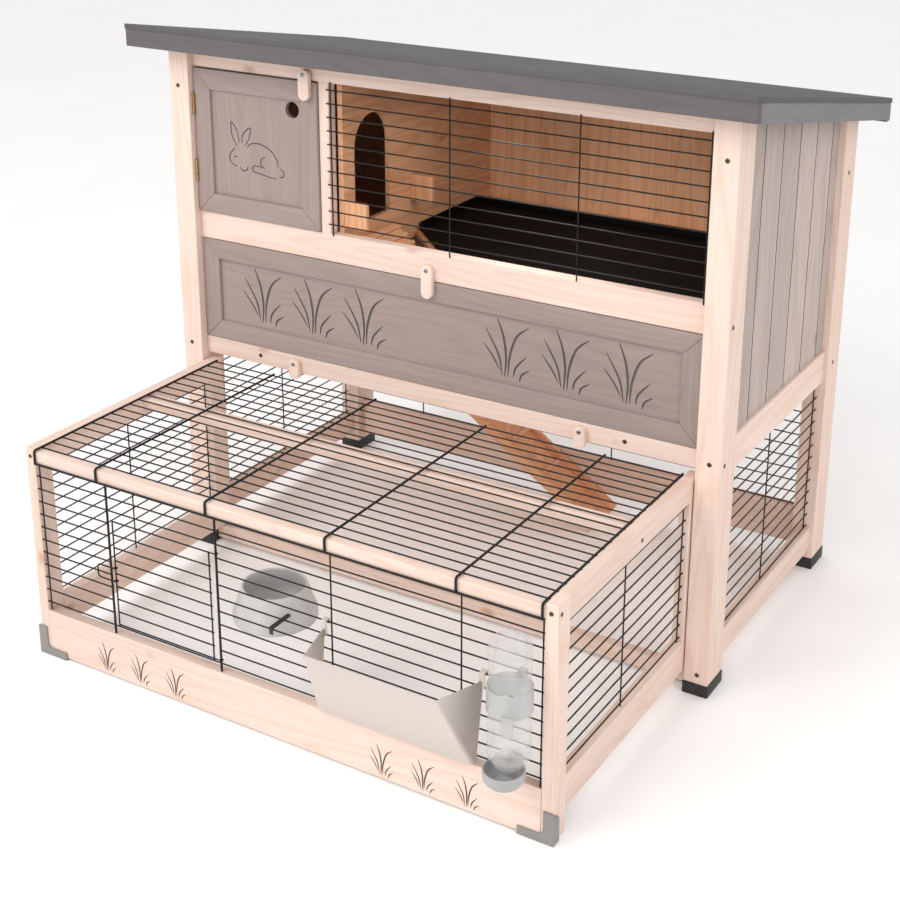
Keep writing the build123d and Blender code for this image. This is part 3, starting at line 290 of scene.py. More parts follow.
# A wood's pale tone, its ring tone and its darkest tone.
SPRUCE = (rgb(227, 205, 193), rgb(216, 185, 166), rgb(190, 146, 120))
INSIDE = (rgb(228, 177, 139), rgb(208, 149, 106), rgb(168, 108, 69))
DOOR_GREY = (rgb(156, 141, 135), rgb(145, 131, 125), rgb(120, 108, 102))
BOARD_GREY = (rgb(186, 171, 164), rgb(168, 153, 146), rgb(138, 125, 119))
FRONT_FASCIA = (rgb(96, 92, 93), rgb(84, 81, 82), rgb(70, 68, 69))
EDGE_FASCIA = (rgb(124, 122, 123), rgb(112, 110, 111), rgb(96, 94, 96))

# The axis across a panel's boards, the first board's edge, and a board's width, in metres.
BOARD_WIDTH = 0.0835
SIDE_BOARDS = ("Y", 0.107, BOARD_WIDTH)
BACK_BOARDS = ("X", -0.4175, BOARD_WIDTH)

# Name, two tones, size of the mottling, roughness, bump, and where it isn't plain, metallic and shine.
SPECKLED = {
    "carved": ("carved_groove", rgb(104, 97, 93), rgb(86, 80, 77), 0.002, 0.85, 0.0004),
    "felt": ("roof_felt", rgb(92, 90, 90), rgb(77, 75, 76), 0.0016, 0.82, 0.0009),
    "wire": ("black_wire", rgb(17, 16, 16), rgb(11, 10, 10), 0.0009, 0.42, 0.0001, 0.0, 0.3),
    "plastic": ("black_plastic", rgb(34, 34, 35), rgb(26, 26, 27), 0.0012, 0.55, 0.0002),
    "tray": ("tray_plastic", rgb(10, 10, 10), rgb(6, 6, 6), 0.0015, 0.7, 0.0003, 0.0, 0.12),
    "groove": ("board_joint", rgb(96, 86, 80), rgb(78, 70, 66), 0.004, 0.85, 0.0004),
    "zinc": ("zinc_plate", rgb(176, 182, 188), rgb(140, 147, 155), 0.0012, 0.36, 0.0001, 0.9),
    "bronze": ("bronze_screw", rgb(112, 92, 62), rgb(86, 70, 48), 0.0012, 0.45, 0.0001, 0.8),
    "brass": ("dull_brass", rgb(190, 160, 104), rgb(150, 118, 70), 0.0014, 0.40, 0.0001, 0.9),
    "bracket": ("grey_bracket", rgb(142, 138, 135), rgb(124, 120, 118), 0.0013, 0.5, 0.0002),
    # hole is painted shade: a flat dark cross on each screw head stands in for the shade inside its recess.
    "hole": ("painted_recess_shade", rgb(30, 26, 24), rgb(16, 14, 13), 0.002, 0.9, 0.0003),
    "rack": ("rack_sheet", rgb(201, 191, 184), rgb(193, 183, 176), 0.0035, 0.42, 0.0003),
}

# Name, two tints, transmission, roughness, and alpha where it isn't 1.
TRANSLUCENT = {
    "light_smoke": ("light_smoke_plastic", rgb(206, 207, 206), rgb(190, 191, 190), 0.35, 0.15, 0.62),
    "bowl": ("bowl_plastic", rgb(200, 199, 198), rgb(188, 187, 186), 0.03, 0.3),
    "clear": ("clear_plastic", rgb(224, 226, 226), rgb(206, 209, 209), 0.45, 0.05, 0.36),
    "smoke": ("smoke_plastic", rgb(180, 180, 179), rgb(166, 166, 165), 0.08, 0.28, 0.93),
}


def make_materials():
    """Every material by its short name. The letter at the end of a wood is the grain's axis."""
    made = {}
    for axis in "XYZ":
        made["spruce" + axis] = make_wood("spruce_grain_" + axis, axis, *SPRUCE, figure=0.55, seed=3.1)
        made["inside" + axis] = make_wood("inner_grain_" + axis, axis, *INSIDE, figure=0.7, seed=7.7)
        made["door" + axis] = make_wood(
            "grey_door_grain_" + axis, axis, *DOOR_GREY, figure=0.6, knots=0.3, seed=5.3)
    made["sides"] = make_wood("grey_boards_side", "Z", *BOARD_GREY, figure=0.7, board=SIDE_BOARDS, seed=1.9)
    made["back"] = make_wood("grey_boards_back", "Z", *BOARD_GREY, figure=0.7, board=BACK_BOARDS, seed=2.6)
    made["inner_back"] = make_wood("inner_back_boards", "Z", *INSIDE, figure=0.7, board=BACK_BOARDS, seed=4.4)
    made["fascia"] = make_wood("fascia_grain", "X", *FRONT_FASCIA, figure=0.4, knots=0.0)
    made["edge_fascia"] = make_wood("edge_fascia_grain", "Y", *EDGE_FASCIA, figure=0.4, knots=0.0)
    for key, settings in SPECKLED.items():
        made[key] = make_speckled(*settings)
    for key, settings in TRANSLUCENT.items():
        made[key] = make_translucent(*settings)
    return made


MATERIAL = make_materials()


# ---- Mesh helpers --------------------------------------------------------------------------

def add_object(name, mesh, body, nodes=(), materials=()):
    thing = bpy.data.objects.new(name, mesh)
    scene.collection.objects.link(thing)
    for key in materials:
        mesh.materials.append(MATERIAL[key])
    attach(thing, body)
    if nodes:
        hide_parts(*nodes)
    return thing


def shade_smooth(mesh, angle):
    mesh.shade_smooth()
    mesh.set_sharp_from_angle(angle=math.radians(angle))


def finished(bm, angle=35):
    mesh = bpy.data.meshes.new("mesh")
    bmesh.ops.recalc_face_normals(bm, faces=bm.faces)
    bm.to_mesh(mesh)
    bm.free()
    shade_smooth(mesh, angle)
    return mesh


def add_prism(bm, outline, axis, low, high, material=0, edge=0.0):
    """An outline in the plane across axis, as thick as low to high, in mm, with rounded edges."""
    def corner(a, b, c):
        return {"X": (c, a, b), "Y": (a, c, b), "Z": (a, b, c)}[axis]
    piece = bmesh.new()
    bottom = [piece.verts.new(Vector(corner(a, b, low)) * MM) for a, b in outline]
    top = [piece.verts.new(Vector(corner(a, b, high)) * MM) for a, b in outline]
    piece.faces.new(bottom)
    piece.faces.new(list(reversed(top)))
    count = len(outline)
    for i in range(count):
        j = (i + 1) % count
        piece.faces.new((bottom[i], top[i], top[j], bottom[j]))
    bmesh.ops.recalc_face_normals(piece, faces=piece.faces)
    if edge:
        bmesh.ops.bevel(
            piece, geom=piece.edges[:], offset=edge * MM, segments=2, profile=0.6,
            affect="EDGES", clamp_overlap=True)
    for face in piece.faces:
        face.material_index = material
    mesh = bpy.data.meshes.new("piece")
    piece.to_mesh(mesh)
    piece.free()
    bm.from_mesh(mesh)
    bpy.data.meshes.remove(mesh)


def add_box(bm, x_span, y_span, z_span, material=0, edge=1.2):
    add_prism(bm, rectangle(x_span, y_span), "Z", z_span[0], z_span[1], material, edge)


def rods(name, lines, body, nodes):
    """Round wire along each line of points, in mm. A line is (points, radius)."""
    curve = bpy.data.curves.new(name, "CURVE")
    curve.dimensions = "3D"
    curve.bevel_mode = "ROUND"
    curve.bevel_depth = MM
    curve.bevel_resolution = 2
    curve.use_fill_caps = True
    for points, thick in lines:
        spline = curve.splines.new("POLY")
        spline.points.add(len(points) - 1)
        for spot, point in zip(spline.points, points):
            spot.co = (*(Vector(point) * MM), 1)
            spot.radius = thick
    thing = bpy.data.objects.new(name, curve)
    mesh = bpy.data.meshes.new_from_object(thing)
    bpy.data.objects.remove(thing)
    shade_smooth(mesh, 50)
    mesh.materials.clear()
    return add_object(name, mesh, body, nodes, ("wire",))


def bend(before, corner, after, radius, steps=6):
    """Points of a rounded bend at corner."""
    before, corner, after = Vector(before), Vector(corner), Vector(after)
    start = corner + (before - corner).normalized() * radius
    end = corner + (after - corner).normalized() * radius
    points = []
    for i in range(steps + 1):
        t = i / steps
        points.append((1 - t) ** 2 * start + 2 * t * (1 - t) * corner + t ** 2 * end)
    return points


def evenly(first, last, pitch):
    """Places from first towards last, a pitch apart."""
    count = int(abs(last - first) / pitch) + 1
    step = pitch if last > first else -pitch
    return [first + i * step for i in range(count)]


TURNED_SIDES = 64


def turned(name, centre, bottom, outline, body, nodes, material):
    """A turned shape from (radius, height) points, smoothed."""
    bm = bmesh.new()
    rings = []
    for radius, height in outline:
        if radius < 0.01:
            rings.append([bm.verts.new(Vector((centre[0], centre[1], bottom + height)) * MM)])
            continue
        ring = []
        for i in range(TURNED_SIDES):
            angle = 2 * math.pi * i / TURNED_SIDES
            x, y = centre[0] + radius * math.cos(angle), centre[1] + radius * math.sin(angle)
            ring.append(bm.verts.new(Vector((x, y, bottom + height)) * MM))
        rings.append(ring)
    for low, high in zip(rings, rings[1:]):
        for i in range(TURNED_SIDES):
            j = (i + 1) % TURNED_SIDES
            if len(low) == 1:
                bm.faces.new((low[0], high[i], high[j]))
            elif len(high) == 1:
                bm.faces.new((low[i], high[0], low[j]))
            else:
                bm.faces.new((low[i], high[i], high[j], low[j]))
    mesh = finished(bm, 50)
    return add_object(name, mesh, body, nodes, (material,))


def cut_sheet(outline, holes, front, thickness):
    """A flat sheet facing -Y, with an outline and holes in X and Z, as a mesh in place."""
    curve = bpy.data.curves.new("sheet", "CURVE")
    curve.dimensions = "2D"
    curve.fill_mode = "BOTH"
    curve.extrude = thickness / 2 * MM
    for ring in [outline] + holes:
        spline = curve.splines.new("POLY")
        spline.points.add(len(ring) - 1)
        for spot, (x, z) in zip(spline.points, ring):
            spot.co = (x * MM, z * MM, 0, 1)
        spline.use_cyclic_u = True
    thing = bpy.data.objects.new("sheet", curve)
    mesh = bpy.data.meshes.new_from_object(thing)
    bpy.data.objects.remove(thing)
    turn = Matrix.Rotation(math.radians(90), 4, "X")
    mesh.transform(Matrix.Translation((0, (front + thickness / 2) * MM, 0)) @ turn)
    mesh.materials.clear()
    return mesh


def stroke(points, width, blunt, steps):
    """A carved stroke: a smooth line through points, widest in the middle and narrow at its ends."""
    line = smooth_line(points, steps)
    left, right = [], []
    for i, here in enumerate(line):
        ahead = line[min(i + 1, len(line) - 1)]
        behind = line[max(i - 1, 0)]
        direction = (ahead - behind).normalized()
        side = Vector((-direction.y, direction.x))
        t = i / (len(line) - 1)
        half = width / 2 * (blunt + (1 - blunt) * math.sin(math.pi * t) ** 0.8)
        left.append(here + side * half)
        right.append(here - side * half)
    return [tuple(p) for p in left + right[::-1]]


def smooth_line(points, steps):
    """Points along a Catmull-Rom line through the given ones."""
    spots = [Vector(p) for p in points]
    spots = [2 * spots[0] - spots[1]] + spots + [2 * spots[-1] - spots[-2]]
    line = []
    for a, b, c, d in zip(spots, spots[1:], spots[2:], spots[3:]):
        for i in range(steps):
            t = i / steps
            square = (2 * a - 5 * b + 4 * c - d) * t * t
            cube = (3 * b - a - 3 * c + d) * t ** 3
            line.append(0.5 * (2 * b + (c - a) * t + square + cube))
    line.append(spots[-2])
    return line


# ---- Carvings ------------------------------------------------------------------------------

# A tuft's blades in a unit square, each with its share of the full width.
BLADES = [
    ([(0.37, 0.12), (0.22, 0.33), (0.00, 0.55)], 0.7),
    ([(0.42, 0.05), (0.33, 0.40), (0.05, 0.80)], 0.8),
    ([(0.47, 0.02), (0.50, 0.35), (0.44, 0.70), (0.30, 1.00)], 1.0),
    ([(0.54, 0.04), (0.58, 0.40), (0.72, 0.74), (0.97, 0.93)], 1.0),
    ([(0.66, 0.05), (0.71, 0.22), (0.93, 0.44)], 0.8),
    ([(0.79, 0.00), (0.84, 0.12), (1.00, 0.22)], 0.8),
]


# A rabbit's strokes in a unit square: ears, face, forefoot, back, tail, thigh, hind foot and eye.
RABBIT = [
    [(0.145, 0.54), (0.06, 0.75), (0.055, 1.0), (0.145, 0.86), (0.195, 0.62)],
    [(0.235, 0.62), (0.27, 0.80), (0.40, 0.93), (0.375, 0.74), (0.30, 0.58)],
    [(0.115, 0.50), (0.04, 0.42), (0.00, 0.30), (0.045, 0.19), (0.14, 0.15)],
    [(0.19, 0.145), (0.24, 0.08), (0.315, 0.11), (0.335, 0.19)],
    [(0.33, 0.55), (0.42, 0.635), (0.58, 0.645), (0.75, 0.56), (0.86, 0.40), (0.885, 0.245)],
    [(0.925, 0.235), (0.975, 0.19), (0.985, 0.11), (0.935, 0.07), (0.90, 0.075)],
    [(0.66, 0.41), (0.585, 0.36), (0.575, 0.25), (0.64, 0.185)],
    [(0.60, 0.195), (0.48, 0.215), (0.42, 0.17), (0.44, 0.10), (0.56, 0.075), (0.72, 0.035), (0.85, 0.03)],
    [(0.085, 0.325), (0.115, 0.345), (0.14, 0.32)],
]


def placed(points, x_span, z_span):
    """Points of a unit square, set in a rectangle."""
    spots = []
    for u, v in points:
        spots.append((x_span[0] + u * (x_span[1] - x_span[0]), z_span[0] + v * (z_span[1] - z_span[0])))
    return spots


def tuft(x_span, z_span, width):
    """A tuft of grass: a fan of six bent blades."""
    return [stroke(placed(blade, x_span, z_span), width * share, 0.2, 8) for blade, share in BLADES]


def rabbit(x_span, z_span, width):
    """A resting rabbit in plain outline, made of separate strokes."""
    return [stroke(placed(line, x_span, z_span), width, 0.55, 8) for line in RABBIT]


def circle(x, z, radius, count=40):
    angles = [2 * math.pi * i / count for i in range(count)]
    return [(x + radius * math.cos(a), z + radius * math.sin(a)) for a in angles]


def rectangle(x_span, z_span):
    (x0, x1), (z0, z1) = x_span, z_span
    return [(x0, z0), (x1, z0), (x1, z1), (x0, z1)]


CARVED_DEPTH = 1.6


def carved_board(name, carving, through, body, node, wood):
    """A board whose front skin is cut through by the carving, over a darker carved ground."""
    x_span, y_span, z_span = spans(node)
    ground = y_span[0] + CARVED_DEPTH
    skin = cut_sheet(rectangle(x_span, z_span), carving + through, y_span[0], CARVED_DEPTH)
    skin.materials.append(MATERIAL[wood])
    inner = cut_sheet(rectangle(x_span, z_span), through, ground, y_span[1] - ground)
    inner.materials.append(MATERIAL["carved"])
    bm = bmesh.new()
    bm.from_mesh(skin)
    bm.from_mesh(inner)
    count = len(skin.polygons)
    bm.faces.ensure_lookup_table()
    for i, face in enumerate(bm.faces):
        centre = face.calc_center_median()
        inner_front = i >= count and abs(centre.y - ground * MM) < 1e-5
        groove_wall = i < count and abs(face.normal.y) < 0.5 and not on_edge(centre, x_span, z_span)
        face.material_index = 1 if inner_front or groove_wall else 0
    mesh = bpy.data.meshes.new(name)
    bm.to_mesh(mesh)
    bm.free()
    return add_object(name, mesh, body, (node,), (wood, "carved"))


def on_edge(point, x_span, z_span):
    x, z = point.x / MM, point.z / MM
    return min(abs(x - x_span[0]), abs(x - x_span[1]), abs(z - z_span[0]), abs(z - z_span[1])) < 0.1


# ---- Doors ---------------------------------------------------------------------------------

STICK = 36.0
MITRE_GAP = 0.25

# The vent's middle and radius, and where the carvings lie.
VENT = (-285.5, 895.0, 14.5)
RABBIT_PLACE = ((-429.0, -306.0), (763.0, 858.0))
FLAP_TUFTS = ((-415, -323), (-303, -210), (-191, -99), (99, 189), (211, 301), (325, 415))
RUN_TUFTS = ((-371, -332), (-298, -257), (-222, -180), (185, 227), (259, 302), (337, 378))


def mitred_door(name, body, node):
    """Four sticks with mitred corners, the grain along each."""
    (x0, x1), y_span, (z0, z1) = spans(node)
    s, gap = STICK, MITRE_GAP
    sticks = [
        ([(x0 + gap, z0), (x1 - gap, z0), (x1 - s - gap, z0 + s), (x0 + s + gap, z0 + s)], 0),
        ([(x1, z0 + gap), (x1, z1 - gap), (x1 - s, z1 - s - gap), (x1 - s, z0 + s + gap)], 1),
        ([(x1 - gap, z1), (x0 + gap, z1), (x0 + s + gap, z1 - s), (x1 - s - gap, z1 - s)], 0),
        ([(x0, z1 - gap), (x0, z0 + gap), (x0 + s, z0 + s + gap), (x0 + s, z1 - s - gap)], 1),
    ]
    bm = bmesh.new()
    for outline, direction in sticks:
        add_prism(bm, outline, "Y", y_span[0], y_span[1], direction, 0.9)
    add_object(name, finished(bm), body, (node,), ("doorX", "doorZ"))


def tufts(x_spans, z_span, width):
    strokes = []
    for x_span in x_spans:
        strokes += tuft(x_span, z_span, width)
    return strokes


def make_doors():
    mitred_door("nest_door_sticks", "nest_door", "nest_door_frame")
    mitred_door("flap_sticks", "flap", "flap_frame")
    carved_board(
        "nest_door_board", rabbit(*RABBIT_PLACE, 2.3), [circle(*VENT)],
        "nest_door", "nest_door_panel", "doorZ")
    carved_board(
        "flap_board", tufts(FLAP_TUFTS, (480, 587), 4.6), [],
        "flap", "flap_panel", "doorX")
    carved_board(
        "run_front_plank", tufts(RUN_TUFTS, (8, 63), 2.6), [],
        "cabinet", "run_front_board", "spruceX")


# ---- Wire ----------------------------------------------------------------------------------

THIN, HEAVY = 1.3, 2.0
PITCH, FRONT_PITCH, LID_PITCH = 23.9, 23.7, 24.0

# How far inside its node's box a thin and a heavy wire's middle lies.
IN_THIN, IN_HEAVY = 1.2, 1.6

# From the middle of a row to the middle of a thin and of a heavy upright that it crosses.
CROSSING, HEAVY_CROSSING = 2.0, 2.4

# The top of the lower grilles and of the run's rail, and the height of the lower grilles' top row.
LOWER_TOP = spans("side_grilles")[2][1]
LOWER_TOP_ROW = LOWER_TOP - 8.5

# The run's front grille, with the opening for the wire door between two heavy uprights.
GRILLE_X, GRILLE_DEPTH, GRILLE_Z = spans("run_front_grille")
GRILLE_Y = GRILLE_DEPTH[0] + IN_THIN
GRILLE_ROWS = [341.7 - i * FRONT_PITCH for i in range(11)]
HATCH_LEFT, HATCH_RIGHT = -329.3, -103.5

# The wire door: its thin uprights, how far they reach past its first and last rows, and its latch.
HATCH_POSTS = (-315.4, -114.3)
HATCH_POST_Y = GRILLE_Y - CROSSING
HATCH_POST_Z = spans("run_wire_door")[2]
HATCH_PAST = 1.5
HATCH_Z = (HATCH_POST_Z[0] + HATCH_PAST, HATCH_POST_Z[1] - HATCH_PAST)
HATCH_SPACES = 8
LATCH_Z = [z + inward for z, inward in zip(spans("run_door_latch")[2], (IN_THIN, -IN_THIN))]

LID_X, LID_DEPTH, LID_TALL = spans("run_top_grille")
LID_BARS = (-477.4, -342.0, -115.0, 112.0, 339.0, 477.4)
LID_FRONT = LID_DEPTH[0] + IN_HEAVY
LID_HINGE_Z = LID_TALL[0] + IN_HEAVY
BARS_ABOVE_ROWS = 2.4


def row(x_span, y, z):
    return ([(x_span[0], y, z), (x_span[1], y, z)], THIN)


def side_row(x, y_span, z):
    return ([(x, y_span[0], z), (x, y_span[1], z)], THIN)


def upright(x, y, z_span, thick=THIN):
    return ([(x, y, z_span[0]), (x, y, z_span[1])], thick)


def around(centre, radius, z, angles):
    return [(centre[0] + radius * math.cos(a), centre[1] + radius * math.sin(a), z) for a in angles]


def window_lines():
    x_span, y_span, z_span = spans("window_mesh")
    y = y_span[0] + IN_THIN
    lines = [row((x_span[0], 495.5), y, z) for z in evenly(940.0, z_span[0], PITCH)]
    return lines + [upright(x, y + CROSSING, z_span) for x in (-202.0, 36.6, 275.2, 494.5)]


def side_lines(node, top_row, uprights):
    """A grille on each side: rows outside, with their uprights inside them."""
    x_span, y_span, z_span = spans(node)
    lines = []
    for side in (-1, 1):
        x = side * (x_span[1] - IN_THIN)
        lines += [side_row(x, y_span, z) for z in evenly(top_row, z_span[0], PITCH)]
        lines += [upright(x - side * CROSSING, y, z_span) for y in uprights]
    return lines


def back_lines():
    x_span, y_span, z_span = spans("back_grille")
    y = y_span[1] - IN_THIN
    lines = [row(x_span, y, z) for z in evenly(LOWER_TOP_ROW, z_span[0], PITCH)]
    return lines + [upright(x, y - CROSSING, z_span) for x in (-348.0, -121.0, 105.0, 332.0)]


def run_front_lines():
    lines = []
    for x_span in ((GRILLE_X[0], HATCH_LEFT), (HATCH_RIGHT, GRILLE_X[1])):
        lines += [row(x_span, GRILLE_Y, z) for z in GRILLE_ROWS]
    lines += [upright(x, GRILLE_Y + CROSSING, GRILLE_Z) for x in (-475.0, 117.0, 345.0, 477.0)]
    lines += [upright(x, GRILLE_Y + HEAVY_CROSSING, GRILLE_Z, HEAVY) for x in (HATCH_LEFT, HATCH_RIGHT)]
    beyond_hatch = [z for z in GRILLE_ROWS if not HATCH_Z[0] < z < HATCH_Z[1]]
    return lines + [row(spans("run_hatch_bars")[0], GRILLE_Y, z) for z in beyond_hatch]


def hatch_lines():
    """The wire door, with an eye at each end of its hinge side, round the heavy upright."""
    space = (HATCH_Z[1] - HATCH_Z[0]) / HATCH_SPACES
    rows = [HATCH_Z[0] + i * space for i in range(HATCH_SPACES + 1)]
    lines = [row((-316.4, -113.3), GRILLE_Y, z) for z in rows]
    lines += [upright(x, HATCH_POST_Y, HATCH_POST_Z) for x in HATCH_POSTS]
    turn = [math.pi + 0.5 + i * 0.52 for i in range(11)]
    for z in (rows[0], rows[-1]):
        neck = [(-113.3, GRILLE_Y, z), (-108.0, -496.6, z)]
        eye = around((HATCH_RIGHT, GRILLE_Y + HEAVY_CROSSING), 2.9, z, turn)
        lines.append((neck + eye, THIN * 0.8))
    return lines


def latch_lines():
    """A loop past the heavy upright, with a ring at each end round the door's thin one."""
    x, y = HATCH_POSTS[0], -501.9
    low, high = LATCH_Z
    start, near, far, end = (x, y, low), (-352.0, y, low), (-352.0, y, high), (x, y, high)
    loop = [start] + bend(start, near, far, 7) + bend(near, far, end, 7) + [end]
    lines = [(loop, THIN)]
    turn = [i * 0.5236 for i in range(-3, 9)]
    for z in LATCH_Z:
        lines.append((around((x, HATCH_POST_Y), 2.75, z, turn), THIN * 0.9))
    return lines


def lid_lines():
    """Thin rows across, and heavy bars over them that bend down in front to the hinge wire."""
    row_z = LOWER_TOP + THIN
    bar_z = row_z + BARS_ABOVE_ROWS
    lines = [row(LID_X, y, row_z) for y in evenly(LID_DEPTH[1] - CROSSING, GRILLE_Y, LID_PITCH)]
    for x in LID_BARS:
        back, corner, foot = (x, LID_DEPTH[1], bar_z), (x, LID_FRONT, bar_z), (x, LID_FRONT, LID_HINGE_Z)
        lines.append(([back] + bend(back, corner, foot, 5) + [foot], HEAVY))
    hinge = [(x, LID_FRONT, LID_HINGE_Z) for x in LID_X]
    return lines + [(hinge, HEAVY)]


def make_wires():
    rods("window_wires", window_lines(), "cabinet", ("window_mesh",))
    lower = side_lines("side_grilles", LOWER_TOP_ROW, (33.0, 241.0, 469.0))
    rods("side_wires", lower, "cabinet", ("side_grilles",))
    rods("back_wires", back_lines(), "cabinet", ("back_grille",))
    run = side_lines("run_side_grilles", 343.5, (-262.0, -47.0))
    rods("run_side_wires", run, "cabinet", ("run_side_grilles",))
    rods("run_front_wires", run_front_lines(), "cabinet", ("run_front_grille", "run_hatch_bars"))
    rods("hatch_door_wires", hatch_lines(), "run_door", ("run_wire_door",))
    rods("hatch_latch_wire", latch_lines(), "run_latch", ("run_door_latch",))
    rods("lid_wires", lid_lines(), "run_lid", ("run_top_grille",))


# ---- Screws, buttons, feet, corner plates and roof -----------------------------------------

SCREW_SIDES = 20
FLAT_HEAD = 0.8
ROUND_HEAD = 1.6

BUTTONS = ("nest_button", "flap_button", "run_button_left", "run_button_right")


def add_screw(bm, place, outward, radius, height, material=0):
    """A low domed head, facing outward, with a flat cross of painted shade on it where the recess is."""
    turn = Vector((0, 0, 1)).rotation_difference(Vector(outward)).to_matrix().to_4x4()
    seat = Matrix.Translation(Vector(place) * MM) @ turn

    def point(x, y, z):
        return bm.verts.new(seat @ (Vector((x, y, z)) * MM))

    profile = [(1.0, 0.0), (1.0, 0.45), (0.86, 0.8), (0.5, 0.97)]
    angles = [2 * math.pi * i / SCREW_SIDES for i in range(SCREW_SIDES)]
    rings = []
    for share, up in profile:
        r = radius * share
        rings.append([point(r * math.cos(a), r * math.sin(a), height * up) for a in angles])
    rings.append([point(0, 0, height)])
    head = [bm.faces.new(rings[0][::-1])]
    for low, high in zip(rings, rings[1:]):
        for i in range(SCREW_SIDES):
            j = (i + 1) % SCREW_SIDES
            corners = (low[i], low[j], high[0]) if len(high) == 1 else (low[i], low[j], high[j], high[i])
            head.append(bm.faces.new(corners))
    for face in head:
        face.material_index = material
    # The cross is a flat face of painted shade, just above the head, in place of a real recess.
    arm, wide = radius * 0.55, radius * 0.13
    cross = [(-arm, -wide), (-wide, -wide), (-wide, -arm), (wide, -arm), (wide, -wide), (arm, -wide),
             (arm, wide), (wide, wide), (wide, arm), (-wide, arm), (-wide, wide), (-arm, wide)]
    face = bm.faces.new([point(a, b, height + 0.02) for a, b in cross])
    face.material_index = 1


def screw_places():
    """Where the flat screw heads are: place, direction and radius."""
    (_, post_side), (post_front, _), _ = spans("front_posts")
    rail_front = spans("front_bottom_rail")[1][0]
    places = []
    for z in (38.7, 422.0, 916.0):
        places += [((x, post_front, z), (0, -1, 0), 4.0) for x in (-526.0, 526.0)]
    places += [((x, rail_front, 419.0), (0, -1, 0), 4.0) for x in (-375.5, 371.0)]
    for side in (-1, 1):
        outward = (side, 0, 0)
        for y, z in ((-18.5, 418.0), (-18.5, 651.5), (509.0, 417.0), (509.0, 778.0)):
            places.append(((side * post_side, y, z), outward, 4.0))
        places.append(((side * 490.0, RUN_FRONT, 376.0), (0, -1, 0), 3.6))
        for y, z in ((-488.0, 373.0), (-226.0, 368.0)):
            places.append(((side * RUN_SIDE, y, z), outward, 3.6))
    return places


def make_screws():
    bm = bmesh.new()
    for name in BUTTONS:
        x_span, y_span, z_span = spans(name)
        seat = (sum(x_span) / 2, y_span[0] - 0.4, z_span[1] - 9.0)
        add_screw(bm, seat, (0, -1, 0), 4.0, ROUND_HEAD)
    for place, outward, radius in screw_places():
        add_screw(bm, place, outward, radius, FLAT_HEAD, 2)
    mesh = finished(bm, 40)
    add_object("screw_heads", mesh, "cabinet", ("frame_screws",), ("zinc", "hole", "bronze"))


def make_buttons():
    """A wooden strip with rounded ends, for each turn button."""
    radius, count = 10.5, 12
    for name in BUTTONS:
        (x0, x1), (y0, y1), (z0, z1) = spans(name)
        x, wide = (x0 + x1) / 2, (x1 - x0) / 2
        outline = []
        for centre_z, start in ((z1 - radius, 0), (z0 + radius, 180)):
            for i in range(count + 1):
                angle = math.radians(start + 180 * i / count)
                outline.append((x + wide * math.cos(angle), centre_z + radius * math.sin(angle)))
        bm = bmesh.new()
        add_prism(bm, outline, "Y", y0, y1, 0, 1.3)
        add_object(name + "_wood", finished(bm, 40), name, (name,), ("spruceZ",))


CAP_WIDE, CAP_DEEP = 45.6, 65.9


def make_feet():
    """A cap on each post's foot."""
    (x0, x1), (y0, y1), z_span = spans("foot_caps")
    bm = bmesh.new()
    for y_span in ((y0, y0 + CAP_DEEP), (y1 - CAP_DEEP, y1)):
        for x_span in ((x1 - CAP_WIDE, x1), (x0, x0 + CAP_WIDE)):
            add_box(bm, x_span, y_span, z_span, 0, 2.2)
    add_object("post_shoes", finished(bm), "cabinet", ("foot_caps",), ("plastic",))


def make_brackets():
    """On each corner of the run, a front plate with a rounded step and a side wing behind it."""
    (_, outer), (front, back), (_, top) = spans("run_corner_brackets")
    plate = [(443.5, 0), (outer, 0), (outer, top), (486.0, top), (486.0, 22.0), (484.0, 16.5),
             (478.5, 14.0), (443.5, 14.0)]
    wing_front = RUN_FRONT - 0.2
    wing = [(wing_front, 0), (back, 0), (back, 40.0), (-489.0, 46.0), (wing_front, 46.0)]
    bm = bmesh.new()
    for side in (-1, 1):
        outline = plate if side > 0 else [(-x, z) for x, z in reversed(plate)]
        add_prism(bm, outline, "Y", front, RUN_FRONT, 0, 0.25)
        x_span = sorted((side * RUN_SIDE, side * outer))
        add_prism(bm, wing, "X", x_span[0], x_span[1], 0, 0.25)
    add_object("corner_plates", finished(bm), "cabinet", ("run_corner_brackets",), ("bracket",))


COVERING = 9.3


def make_roof():
    """The weatherproof covering, as one sheet that slopes down to the back."""
    x_span, (front, back), (low, high) = spans("roof_sheet")
    outline = [(front, high), (front, high - COVERING), (back, low), (back, low + COVERING)]
    bm = bmesh.new()
    add_prism(bm, outline, "X", *x_span, 0, 1.6)
    add_object("roof_covering", finished(bm), "roof", ("roof_sheet",), ("felt",))


# ---- Feeding things ------------------------------------------------------------------------

BOTTLE_AXIS = middle("water_bottle")
BOTTLE_BOTTOM = spans("water_bottle")[2][0]
BAND_BOTTOM = BOTTLE_BOTTOM + 105.0
CUP_RADIUS = 31.0
COLLAR_HEIGHT = 5.0

